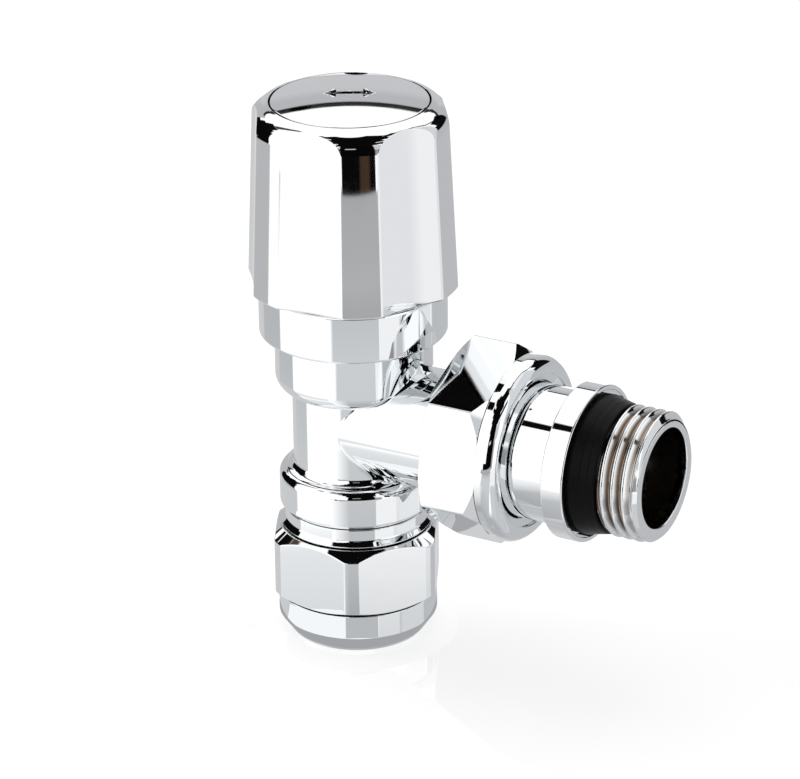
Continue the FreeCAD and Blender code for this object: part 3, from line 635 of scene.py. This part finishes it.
def pipe_thread():
    """The body's foot with the thread that the compression nut runs on."""
    heights = np.arange(8.5, 18.7, 0.09)

    def limit(z):
        return np.where(z < 10, 9.9 + (z - 8.0), np.where(z > 16, 9.4 + np.abs(18.8 - z) * 1.5, 10.4))

    def section(angle):
        rows = threaded_rows(angle, heights, limit, 10.4, PIPE_THREAD_PITCH)
        return with_thread(angle, [(9.05, 8.0), (9.8, 8.0)], rows, [(9.3, 19.3), (PIPE_R, 19.3), (PIPE_R, 12.2)])
    return skin(even(160), section)


finished(valve_body(), chrome, "root", "chromed_brass", "valve_body")
finished(mesh_of("body_threads", [union_thread(), pipe_thread()]), chrome, "root", "chromed_brass")


# Nuts

def compression_nut():
    """Hexagon with turned-down corners and a cone above, over a plain ring that tapers to the pipe."""
    flats, corner_r, corner_angle = 26.0, 14.4, -64.3
    cone = math.tan(math.radians(38.0))
    top_z, top_r, mid_z = 18.8, 12.6, 7.3

    def section(angle):
        edge = hex_r(angle, flats, corner_angle, corner_r, 0.12)
        return outline([
            (PIPE_R, 0.0),
            (10.85, 0.0, 0.3, 4),
            (12.95, 3.0, 0.5, 5),
            (12.95, 7.05, 0.1, 3),
            (11.6, 7.15),
            (11.6, 7.22),
            (12.9, mid_z),
            (edge, mid_z + (edge - 12.9) * 0.6, 0.2, 4),
            (edge, top_z - (edge - top_r) * cone, 0.3, 5),
            (top_r, top_z, 0.2, 4),
            (11.4, top_z),
            (10.45, 17.8),
            (10.45, 6.8),
            (9.05, 6.8),
            (PIPE_R, 2.6),
        ])
    return skin(hex_turns(corner_angle, 4.53, 1.0), section)


def union_nut():
    """Hexagon with rounded corners, and a turned bead that draws the tailpiece in."""
    flats, corner_r = 28.8, 16.5
    corner_angle = 270 - 39.15
    back_x, bead_x, front_x = 19.6, 29.55, 33.05

    def section(angle):
        edge = hex_r(angle, flats, corner_angle, corner_r, 0)
        back_r = min(14.7, edge - 0.12)
        front_r = min(15.0, edge - 0.02)
        return outline([
            (12.05, back_x, 0.2, 3),
            (back_r, back_x, 0.05, 2),
            (edge, back_x + (edge - back_r) * 0.5, 0.12, 4),
            (edge, bead_x - (edge - front_r), 0.02, 4),
            (front_r, bead_x),
            (14.2, bead_x),
            (14.2, bead_x + 0.12),
            (15.1, bead_x + 0.12, 0.12, 3),
            (15.1, front_x, 2.3, 16),
            (12.35, front_x, 0.2, 4),
            (12.35, 32.45, 0.05, 3),
            (11.15, 32.0, 0.1, 3),
            (11.15, 29.95),
            (12.05, 29.05),
        ])
    return skin(hex_turns(corner_angle, 0.7, 0.8), section, True, True)


finished(mesh_of("compression_nut_chromed", [compression_nut()]), chrome, "compression_nut", "chromed_brass",
         "compression_nut")
finished(mesh_of("union_nut_chromed", [union_nut()]), chrome, "union_nut", "chromed_brass", "union_nut")


# Tailpiece and its seal

def tailpiece():
    """Tail with its cone end, its stop rim and the radiator's thread, and a hexagon in its bore for a key."""
    heights = np.arange(48.3, 55.25, 0.07)

    def limit(x):
        return np.where(x > 52, 9.83 + (55.35 - x), 9.35 + (x - 48.15) * 2.2)

    def section(angle):
        socket = hex_r(angle, 13.0, 0.0, 7.45, 0.04) + 0.01
        rows = threaded_rows(angle, heights, limit, 10.48, PIPE_THREAD_PITCH)
        return with_thread(angle, [
            (6.5, 22.1),
            (8.5, 22.1, 0.4, 4),
            (8.5, 24.05),
            (6.95, 24.05),
            (6.95, 25.65),
            (8.5, 25.65),
            (8.5, 27.6),
            (10.85, 27.6, 0.15, 3),
            (10.85, 28.289),
            (10.25, 28.289),
            (10.25, 29.789),
            (10.85, 29.789),
            (10.85, 40.0, 0.2, 3),
            (12.6, 40.0, 0.25, 4),
            (12.6, 43.75, 0.25, 4),
            (11.85, 43.75, 0.1, 3),
            (11.85, 42.55),
            (9.3, 42.55),
            (9.3, 48.15, 0.1, 3),
        ], rows, [
            (9.83, 55.35, 0.1, 3),
            (8.03, 55.35, 0.2, 4),
            (8.03, 40.35),
            (socket, 40.35),
            (socket, 27.6),
            (6.5, 27.6),
        ])
    return skin(even(288), section, True, True)


def radiator_seal():
    """Tapered rubber ring with fine grooves round its outside."""
    wide_r, narrow_r = 11.1, 10.35
    wide_x, narrow_x = 44.5, 48.1
    corners = [(9.35, 42.6), (11.15, 42.6, 0.1), (11.2, 44.35, 0.3)]
    ridges = 3
    for k in range(1, ridges):
        share = k / ridges
        r = wide_r + (narrow_r - wide_r) * share
        x = wide_x + (narrow_x - wide_x) * share
        corners += [(r + 0.01, x - 0.1), (r - 0.05, x, 0.04), (r - 0.01, x + 0.1)]
    corners += [(narrow_r, narrow_x, 0.25), (9.35, narrow_x)]
    return lathe(corners, 192, True, True)


finished(mesh_of("tailpiece_chromed", [tailpiece()]), chrome_painted_shade_in_thread(), "tail", "chromed_brass", "tailpiece")
finished(mesh_of("radiator_seal_moulded", [radiator_seal()]), rubber, "tail", "black_rubber", "radiator_seal")


# Wheelhead, its shroud and its cap

HEAD_Z, HEAD_TOP_Z = 60.8, 91.0
CREST_R = 17.25
DRAFT = math.tan(math.radians(2.6))
CREST_HALF = 10.5
CREST_AT = 5.0
FLUTE_HALF = math.radians(30 - CREST_HALF)
FLUTE_DEPTH = 0.35
RECESS_R = 12.78
SHOULDER_ROUND = 3.6
EDGE_ROUND = 0.22


def lobe_r(angle, z):
    """Radius of the wheelhead's side: narrow crests joined by wide hollow flutes."""
    crest = CREST_R - (z - HEAD_Z) * DRAFT
    hollow = crest * math.cos(FLUTE_HALF) - FLUTE_DEPTH
    centre = (crest ** 2 - hollow ** 2) / (2 * FLUTE_DEPTH)
    off = (angle - math.radians(CREST_AT + 30) + math.pi / 6) % (math.pi / 3) - math.pi / 6
    flute = centre * math.cos(off) - np.sqrt((centre - hollow) ** 2 - (centre * math.sin(off)) ** 2)
    return softer_min(crest, flute, 0.14)


def shoulder():
    """The turned shoulder's arc from the leaning side to the sloping top: radii and heights along it."""
    top_crest = CREST_R - (HEAD_TOP_Z - HEAD_Z) * DRAFT
    corners = [(CREST_R, HEAD_Z), (top_crest, HEAD_TOP_Z - 0.7, SHOULDER_ROUND, 48), (RECESS_R, HEAD_TOP_Z)]
    points, starts, ends = outline(corners, closed=False)
    return points[1:-1], starts[1:-1]


ARC_POINTS, ARC_WAYS = shoulder()
ARC_PLACES = np.arange(len(ARC_POINTS))


def wheelhead_section(angle):
    """Section of the wheelhead's wall: its inside, then the leaning side up to where it meets the shoulder's
    arc, then the arc and the recess for the cap."""
    clear = np.array([lobe_r(angle, z) for z in ARC_POINTS[:, 1]]) - ARC_POINTS[:, 0]
    over = np.nonzero(clear > 0)[0]
    first = over[0] if len(over) else 0
    if first > 0:
        share = -clear[first - 1] / (clear[first] - clear[first - 1])
        place = first - 1 + share
    else:
        place = 0.0
    meet_z = np.interp(place, ARC_PLACES, ARC_POINTS[:, 1])
    heights = np.linspace(HEAD_Z + 0.45, meet_z, 9)
    foot = lobe_r(angle, HEAD_Z)
    side = np.array([[lobe_r(angle, z), z] for z in heights])
    lean = np.array([-DRAFT, 1.0]) / math.hypot(DRAFT, 1.0)
    on_arc = np.linspace(place, len(ARC_POINTS) - 1, 25)
    arc = np.stack([np.interp(on_arc, ARC_PLACES, ARC_POINTS[:, k]) for k in (0, 1)], 1)
    ways = np.stack([np.interp(on_arc, ARC_PLACES, ARC_WAYS[:, k]) for k in (0, 1)], 1)
    ways /= np.linalg.norm(ways, axis=1, keepdims=True)
    arc[0] = side[-1]
    edge, edge_starts, edge_ends = outline([
        tuple(side[-2]), (side[-1][0], side[-1][1], EDGE_ROUND, 5), tuple(arc[2])], closed=False)
    wall_foot = 14.61
    lower = outline([
        (3.55, 71.9),
        (6.5, 71.9, 0.2, 3),
        (6.5, 84.7),
        (13.7, 84.7, 2.0, 6),
        (wall_foot, HEAD_Z, 0.15, 3),
        (foot, HEAD_Z, 0.35, 5),
        tuple(side[0]),
    ], closed=False)
    upper = outline([
        tuple(arc[-1]),
        (RECESS_R, HEAD_TOP_Z, 0.08, 3),
        (RECESS_R, 87.5),
        (4.25, 87.5),
        (4.25, 86.0),
        (1.5, 86.0),
        (1.5, 84.7),
        (3.55, 84.7),
        (3.55, 71.9),
    ], closed=False)
    edge_ends[-2] = ways[2]
    side_ways = np.tile(lean, (len(side) - 2, 1))
    points = np.concatenate([lower[0][:-1], side[:-2], edge[:-1], arc[2:], upper[0][1:-1]])
    starts = np.concatenate([lower[1][:-1], side_ways, edge_starts[:-1], ways[2:-1], upper[1][:-1]])
    ends = np.concatenate([lower[2][:-1], side_ways, edge_ends[:-1], ways[3:], upper[2][:-1]])
    return points, starts, ends


def wheelhead_turns():
    """Angles round the wheelhead, closer together where a crest meets a flute."""
    near = np.arange(-1.5, 1.51, 0.25)
    return six_times(CREST_AT, [np.arange(-30, 30, 1.25), CREST_HALF + near, -CREST_HALF + near])


def wheelhead():
    """The whole moulding: flutes, shoulder, cap recess, screw well, hub and the six ribs inside."""
    made = [skin(wheelhead_turns(), wheelhead_section)]
    web = bar_box((6.3, -0.7, 75.9), (14.3, 0.7, 84.9))
    for k in range(6):
        made.append(moved(web, Matrix.Rotation(math.radians(CREST_AT + 60 * k), 4, "Z")))
    return mesh_of("wheelhead_plated", made)


def turning_mark(floor_z):
    """Cutter for a plain arrow with two heads, pressed into the cap to show that the wheelhead turns both ways."""
    half = [(3.9, 0.0), (2.1, 1.75), (2.1, 0.55), (-2.1, 0.55), (-2.1, 1.75)]
    shape = half + [(-x, -y) for x, y in half]
    draft, rise, turned = 1.03, 1.5, 29.2
    count = len(shape)
    low = [(x, y, floor_z) for x, y in shape]
    high = [(x * draft, y * draft, floor_z + rise) for x, y in shape]
    walls = [[low[k], low[(k + 1) % count], high[(k + 1) % count], high[k]] for k in range(count)]
    place, corners, facing = flat_sided([low, high[::-1]] + walls)
    outward = [np.asarray(f) * -1 for f in facing]
    return moved((place, [c[::-1] for c in corners], outward), Matrix.Rotation(math.radians(turned), 4, "Z"))


def wheelhead_cap():
    """Low domed cap with a notch at its edge for taking it out, and the arrow pressed into it."""
    cap_r, rise, thick, under_r = 12.6, 1.2, 1.5, 11.4
    notch_r, notch_angle, mark_depth = 1.9, 115.0, 0.32
    arch_r = (cap_r ** 2 + rise ** 2) / (2 * rise)
    arch_z = CAP_TOP_Z - arch_r
    under = [(r, arch_z + math.sqrt((arch_r - thick) ** 2 - r ** 2)) for r in (under_r * k / 8 for k in range(9))]
    edge = outline(under + [
        (under_r, 87.55),
        (cap_r, 87.55),
        (cap_r, 87.72),
        (12.72, 87.84),
        (12.72, 88.2),
        (12.5, 88.42),
        (12.5, 90.84, 0.1, 2),
    ], closed=False)
    rim = math.asin(12.38 / arch_r)
    spans = np.linspace(rim, 0, 28)
    dome = np.stack([arch_r * np.sin(spans), arch_z + arch_r * np.cos(spans)], 1)
    ways = np.stack([-np.cos(spans), np.sin(spans)], 1)
    lip = np.array([12.48, 90.9])
    bridge = (dome[0] - lip) / np.linalg.norm(dome[0] - lip)
    points = np.concatenate([edge[0][:-1], [lip], dome])
    starts = np.concatenate([edge[1][:-1], [bridge], ways[:-1], [ways[-1]]])
    ends = np.concatenate([edge[2][:-1], [ways[0]], ways[1:], [ways[-1]]])
    body = skin(even(256), lambda angle: (points, starts, ends), False)
    notch = lathe([(0, 88.6), (notch_r, 88.6, 0.2), (notch_r, 93.0), (0, 93.0)], 64, False)
    at = math.radians(notch_angle)
    notch = moved(notch, Matrix.Translation((12.3 * math.cos(at), 12.3 * math.sin(at), 0)))
    return joined_and_cut("wheelhead_cap_plated", [body], [], [notch, turning_mark(CAP_TOP_Z - mark_depth)])


def head_shroud():
    """Turned ring that stands on the bell and reaches up into the wheelhead."""
    return lathe([
        (9.2, 52.4),
        (15.11, 52.4, 0.5),
        (15.11, 60.4, 0.5),
        (14.01, 60.4),
        (14.01, 66.6),
        (13.21, 66.6),
        (13.21, 53.5),
        (9.2, 53.5),
    ])


finished(wheelhead(), plated, "head", "chromed_abs", "wheelhead")
finished(wheelhead_cap(), plated, "head", "chromed_abs", "wheelhead_cap")
finished(mesh_of("head_shroud_chromed", [head_shroud()]), chrome, "root", "chromed_brass", "head_shroud")


# Solids that keep their own shape, inside the valve or showing only when it is taken apart

for name, material in {
    "bonnet": brass,
    "bonnet_o_ring": rubber,
    "gland_washer": steel,
    "spindle_o_ring": rubber,
    "gland_packing": ptfe,
    "gland_nut": brass,
    "disc_holder": brass,
    "disc_washer": rubber,
    "disc_screw": brass,
    "spindle": brass,
    "head_screw": steel,
    "head_screw_washer": steel,
    "tail_clip": steel,
    "union_o_ring": rubber,
    "olive": brass,
}.items():
    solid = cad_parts[name]
    solid.data.materials.clear()
    solid.data.materials.append(material)


# Studio: a white sheet for a floor, soft lamps, and the boards that the chrome mirrors. The boards stand so far
# away that only their direction counts, and the cards lie on the floor near the valve, with painted shadow and
# painted reflection of the floor on them. Both are there for mirrors alone: the camera and the plain surfaces don't
# see them.

MIRRORED_WHITE = 1.18
BOARDS = [
    # name, azimuth from and to, elevation from and to, colour, softness in degrees. Later ones cover earlier ones.
    # A sheet is the floor as it is mirrored beyond the cards, a softbox a lit wall.
    ("sheet_left", -161, -93, -90, -28.5, "#DDDDDE", 3),
    ("sheet_left_near", -161, -93, -90, -44, "#CFCFD1", 10),
    ("sheet_front_right", -31, 2, -90, -16, "#C4C5C6", 2),
    ("sheet_front_right_edge", -31, 8, -27, -14, "#EAEAEB", 2),
    ("sheet_right", 2, 50, -90, -26, "#BDBEC0", 2),
    ("sheet_back_right", 50, 106, -90, -12, "#B3B4B6", 3),
    ("sheet_back", 106, 131, -90, -19, "#C3C4C5", 3),
    ("sheet_back_left", 131, 199, -90, -12.5, "#C1C2C3", 2),
    ("sheet_back_left_edge", 160, 199, -24, -12.5, "#AFB0B2", 2),
    # Painted shadow: the floor straight under the object, darker as mirrors see it.
    ("sheet_under_painted_shadow", -180, 180, -91, -64, "#A9AAAC", 14),
    ("right_softbox", 9, 54, -14, 60, "#CDCED0", 4),
    ("right_softbox_low", 6, 49, -27, -14, "#DBDCDE", 5),
    ("right_softbox_top", 20, 54, 40, 62, "#E6E6E8", 6),
    ("right_board", 50, 80, -14, 4, "#B0B1B3", 3),
    ("back_board", 78, 158, -14, 28, "#AFB0B2", 1.5),
    ("back_board_middle", 96, 136, 2, 19, "#BCBDBF", 5),
    ("back_board_glow", 108, 131, -19, 0.5, "#FFFFFF", 3),
    ("left_dark_board", 157.5, 199, -12.3, 20, "#080808", 0.6),
    ("left_dark_board_upper", 164, 195, 19.5, 27.5, "#080808", 0.6),
    ("left_dark_board_top", 168.5, 191, 27, 37.5, "#0A0A0A", 0.6),
    ("left_brown_board", 175, 187, 37, 60, "#4A3F36", 3),
    ("back_dark_board", 53.5, 81, 1.5, 15, "#0C0C0C", 1),
    ("back_dark_board_top", 58, 81, 14, 29.3, "#0C0C0C", 1),
    ("right_front_grey", -34, -23, -12, 13, "#919294", 2),
    ("right_front_grey_top", -34, -14, 12, 31, "#C2C3C4", 3),
    ("front_dark_low", -92, -33, -15.6, -1, "#060606", 0.4),
    ("front_dark_under", -80, -33, -24, -14, "#060606", 0.4),
    ("front_brown_board", -50, -39.5, -24, -12.8, "#3D2E23", 3),
    ("front_dark", -73, -33, -1.5, 34, "#060606", 1),
    ("front_dark_high", -78, -26, 33, 46, "#080808", 1),
    ("front_dark_right", -27, 4, 34.5, 43, "#0C0C0C", 1.5),
    ("front_dark_middle", -86, -12, 45, 58, "#080808", 1),
    ("front_dark_upper", -97, 8, 52, 67, "#080808", 1.5),
    ("front_dark_left", -124, -95, 57.5, 63, "#0A0A0A", 1),
    ("front_dark_top", -130, 18, 65.5, 80.5, "#080808", 1.5),
    ("front_dark_tip", 0, 39, 59.5, 65, "#080808", 1),
    ("front_dark_strip", -149, -134.5, 53.5, 60.3, "#0A0A0A", 1),
    ("front_dark_edge", -142, -128, 66, 72, "#0A0A0A", 1),
    ("front_light_slit", -66, -54, 18.5, 22.5, "#BFC0C1", 1),
]
# Dark seam along the top of the boards behind the object, from one direction to the next
SEAM = [(150, 26.5), (127, 28.2), (95, 28.6), (84, 25.5), (76, 21), (66, 30), (58, 37), (58, 50), (45, 58),
        (30, 62.5), (16, 66)]
SEAM_WIDTH = 3.0
SEAM_SOFT = 0.5
SEAM_DARK = 0.97
# Where the compression nut's round wall gathers what it mirrors, half its radius in front of the axis. Cards that
# spread from there have sides that stand upright in it.
IN_NUT = (0.00325, -0.0056)
ON_AXIS = (0.0, 0.0)
CARD_HEIGHT = 0.0004
FOOT_PAINTED_SHADOW_HEIGHT = 0.0006
# The cards carry the floor as mirrors see it: painted shadow near the nut and painted reflection further out.
CARDS = [
    # name, where it spreads from, its height, azimuth from and to, softness of its left side, then its colour at
    # each distance in metres
    # Painted shadow: the floor right under the nut, dark grey as its lower chamfer mirrors it.
    ("foot_painted_shadow", ON_AXIS, FOOT_PAINTED_SHADOW_HEIGHT, -180, 180, 0, [(0.0, "#9C9D9F"), (0.0165, "#9C9D9F")]),
    ("ring_left_card", IN_NUT, CARD_HEIGHT, -165, -79, 0, [(0.012, "#EFF0F1"), (0.0225, "#EFF0F1")]),
    # Painted shadow: the floor round the nut on the side of the camera, grey where the object's shadow falls.
    ("ring_painted_shadow", IN_NUT, CARD_HEIGHT, -80, -32, 2, [(0.012, "#B2B3B5"), (0.0225, "#B2B3B5")]),
    ("near_left_card", IN_NUT, CARD_HEIGHT, -161, -101, 0, [
        (0.0226, "#D4D5D7"), (0.044, "#DEDFE0"), (0.056, "#FFFFFF"), (0.058, "#FFFFFF")]),
    # Painted shadow: the floor beyond, on the side of the camera, lightening with distance.
    ("near_painted_shadow", IN_NUT, CARD_HEIGHT, -101, -31, 30, [
        (0.0226, "#A4A5A7"), (0.04, "#B4B5B7"), (0.055, "#BABBBD"), (0.08, "#C4C5C7")]),
    # Painted reflection: further out the floor turns greyer where it mirrors the dark side toward the camera, on this
    # card and the next.
    ("middle_painted_reflection", ON_AXIS, CARD_HEIGHT, -87, -31, 3, [
        (0.085, "#C4C5C7"), (0.13, "#C6C7C9"), (0.15, "#BDBEC0"), (0.185, "#B0B1B3")]),
    ("far_painted_reflection", ON_AXIS, CARD_HEIGHT, -98, -31, 0, [
        (0.185, "#9E9FA0"), (0.21, "#A2A3A4"), (0.23, "#AAABAC"), (0.25, "#A6A7A8"), (0.297, "#A4A5A6")]),
]


def light_round(az, el):
    """Light that mirrors see in each direction, as the boards and the seam there give it."""
    light = np.ones(az.shape + (3,))
    for name, az_from, az_to, el_from, el_to, colour, soft in BOARDS:
        middle, half = (az_from + az_to) / 2, (az_to - az_from) / 2
        off = np.abs((az - middle + 180) % 360 - 180)
        side = np.clip((half - off) / soft + 0.5, 0, 1)
        low = np.clip((el - el_from) / soft + 0.5, 0, 1)
        high = np.clip((el_to - el) / soft + 0.5, 0, 1)
        mask = (side * low * high)[..., None]
        light = light * (1 - mask) + np.array(tone(colour)[:3]) * mask
    for (az1, el1), (az2, el2) in zip(SEAM, SEAM[1:]):
        flat = math.cos(math.radians((el1 + el2) / 2))
        ahead = np.array([(az2 - az1) * flat, el2 - el1])
        across = ((az - az1 + 180) % 360 - 180) * flat
        share = np.clip((across * ahead[0] + (el - el1) * ahead[1]) / (ahead @ ahead), 0, 1)
        off = np.hypot(across - share * ahead[0], el - el1 - share * ahead[1])
        mask = np.clip((SEAM_WIDTH / 2 - off) / SEAM_SOFT + 0.5, 0, 1)[..., None]
        light = light * (1 - SEAM_DARK * mask)
    return light


def studio():
    """Dome round the object that only mirrors see, divided finely and exactly along the sides of each board."""
    radius = 20.0
    fine = 0.75
    azimuth = [np.arange(-180, 180, fine)]
    height = [np.arange(-90, 90 + fine, fine)]
    for name, az_from, az_to, el_from, el_to, colour, soft in BOARDS:
        ends = np.array([-soft / 2, soft / 2])
        azimuth += [(az_from + ends + 180) % 360 - 180, (az_to + ends + 180) % 360 - 180]
        height += [el_from + ends, el_to + ends]
    azimuth = np.unique(np.round(np.concatenate(azimuth), 3))
    height = np.unique(np.round(np.clip(np.concatenate(height), -90, 90), 3))
    across, high = len(azimuth), len(height) - 1
    az, el = np.meshgrid(azimuth, height, indexing="ij")
    a, e = np.radians(az), np.radians(el)
    place = radius * np.stack([np.cos(e) * np.cos(a), np.cos(e) * np.sin(a), np.sin(e)], -1)
    place[..., 2] += BRANCH_Z * METRES
    rows = high + 1
    j, i = np.meshgrid(np.arange(across), np.arange(high), indexing="ij")
    j2 = (j + 1) % across
    faces = np.stack([j * rows + i, j * rows + i + 1, j2 * rows + i + 1, j2 * rows + i], -1).reshape(-1, 4)
    lit("studio_dome", place.reshape(-1, 3), faces, light_round(az, el).reshape(-1, 3))


def lit(name, place, faces, light):
    """Studio surface that only mirrors see, with the light of each of its points."""
    mesh = bpy.data.meshes.new(name)
    mesh.from_pydata(place.tolist(), [], faces.tolist(), shade_flat=False)
    layer = mesh.attributes.new("light", "FLOAT_COLOR", "POINT")
    layer.data.foreach_set("color", np.column_stack([light, np.ones(len(light))]).astype(np.float32).ravel())
    material = bpy.data.materials.new(name + "_light")
    material.use_nodes = True
    tree = material.node_tree
    tree.nodes.remove(tree.nodes["Principled BSDF"])
    level = add(tree, "ShaderNodeAttribute", {"attribute_name": "light"}, {})
    glow = add(tree, "ShaderNodeEmission", {"Strength": MIRRORED_WHITE}, {"Color": level.outputs["Color"]})
    tree.links.new(glow.outputs["Emission"], tree.nodes["Material Output"].inputs["Surface"])
    mesh.materials.append(material)
    made = object_of(mesh)
    made.visible_camera = False
    made.visible_diffuse = False
    made.visible_transmission = False
    made.visible_shadow = False


def painted_floor_card(name, middle, height, az_from, az_to, soft, tones):
    """Card on the floor in the shape of a fan, with painted shadow and painted reflection of the floor in its greys.
    It is near enough for its far edge to sit higher in the low mirrors, and its left side fades in over a few degrees."""
    count = 68
    azimuth = np.linspace(az_from, az_to, count)
    angle = np.radians(azimuth)[:, None]
    radius = np.array([r for r, colour in tones])
    rows = len(radius)
    place = np.stack([
        middle[0] + radius * np.cos(angle),
        middle[1] + radius * np.sin(angle),
        np.full((count, rows), height),
    ], -1).reshape(-1, 3)
    light = np.array([[tone(colour)[:3] for r, colour in tones]] * count)
    fade = np.clip((azimuth - az_from) / max(soft, 1e-3), 0, 1)[:, None, None]
    light = (1 - (1 - light) * fade).reshape(-1, 3)
    j, i = np.meshgrid(np.arange(count - 1), np.arange(rows - 1), indexing="ij")
    faces = np.stack([j * rows + i, j * rows + i + 1, (j + 1) * rows + i + 1, (j + 1) * rows + i], -1).reshape(-1, 4)
    lit(name, place, faces, light)


def floor_sheet():
    """White glossy sheet under the object. What the camera sees of it reaches white where no shadow falls."""
    radius = 0.33
    count = 128
    lift_to_white = 0.77
    ring = [(radius * math.cos(math.radians(a)), radius * math.sin(math.radians(a)), 0.0) for a in even(count)]
    mesh = bpy.data.meshes.new("floor_sheet")
    mesh.from_pydata(ring, [], [list(range(count))])
    material, tree, shader, place = surface("glossy_white_sheet", "#858585", 0.0, Roughness=0.03, IOR=1.5)
    seen = add(tree, "ShaderNodeLightPath", {}, {}).outputs["Is Camera Ray"]
    lift = add(tree, "ShaderNodeMath", {"operation": "MULTIPLY", 1: lift_to_white}, {0: seen})
    glow = add(tree, "ShaderNodeEmission", {}, {"Strength": lift.outputs["Value"]})
    both = add(tree, "ShaderNodeAddShader", {}, {0: shader.outputs["BSDF"], 1: glow.outputs["Emission"]})
    tree.links.new(both.outputs["Shader"], tree.nodes["Material Output"].inputs["Surface"])
    mesh.materials.append(material)
    sheet = object_of(mesh)
    sheet.visible_glossy = False


def backdrop():
    """White all round for the camera and mirrors, and a plain soft light for everything else."""
    world = bpy.data.worlds.new("white_studio")
    bpy.context.scene.world = world
    world.use_nodes = True
    tree = world.node_tree
    back = tree.nodes["Background"]
    back.inputs["Color"].default_value = (1.0, 1.0, 1.0, 1.0)
    path = add(tree, "ShaderNodeLightPath", {}, {})
    either = add(tree, "ShaderNodeMath", {"operation": "MAXIMUM"},
                 {0: path.outputs["Is Camera Ray"], 1: path.outputs["Is Glossy Ray"]})
    any_seen = add(tree, "ShaderNodeMath", {"operation": "MAXIMUM"},
                   {0: either.outputs["Value"], 1: path.outputs["Is Transmission Ray"]})
    level = add(tree, "ShaderNodeMapRange", {"To Min": 0.6, "To Max": 1.0}, {"Value": any_seen.outputs["Value"]})
    tree.links.new(level.outputs["Result"], back.inputs["Strength"])


LAMPS_AIM = Vector((0.01, 0.0, 0.04))


def lamp(name, place, size, power):
    """Square soft lamp that faces the object and that mirrors don't see, because the dome stands for it there."""
    data = bpy.data.lights.new(name, "AREA")
    data.size = size
    data.energy = power
    made = bpy.data.objects.new(name, data)
    bpy.context.scene.collection.objects.link(made)
    made.location = place
    made.rotation_mode = "QUATERNION"
    made.rotation_quaternion = (Vector(place) - LAMPS_AIM).to_track_quat("Z", "Y")
    made.visible_glossy = False


studio()
for card in CARDS:
    painted_floor_card(*card)
floor_sheet()
backdrop()
lamp("overhead_softbox", (-0.1, 0.25, 1.1), 0.8, 7.0)
lamp("left_softbox", (-0.8, -0.35, 0.55), 0.6, 3.0)

# Camera at the photograph's place and angle: the ways to its right and its top, and where it stands in metres

camera_data = bpy.data.cameras.new("camera")
camera_data.lens = 189.1
camera_data.sensor_width = 36.0
camera = bpy.data.objects.new("camera", camera_data)
bpy.context.scene.collection.objects.link(camera)
right = Vector((0.87318, 0.48726, -0.01145))
above = Vector((-0.18848, 0.35925, 0.91401))
behind = right.cross(above)
turn = Matrix((right, above, behind)).transposed().to_4x4()
camera.matrix_world = Matrix.Translation((0.31002, -0.53419, 0.31542)) @ turn
bpy.context.scene.camera = camera
bpy.context.scene.view_settings.view_transform = "Standard"
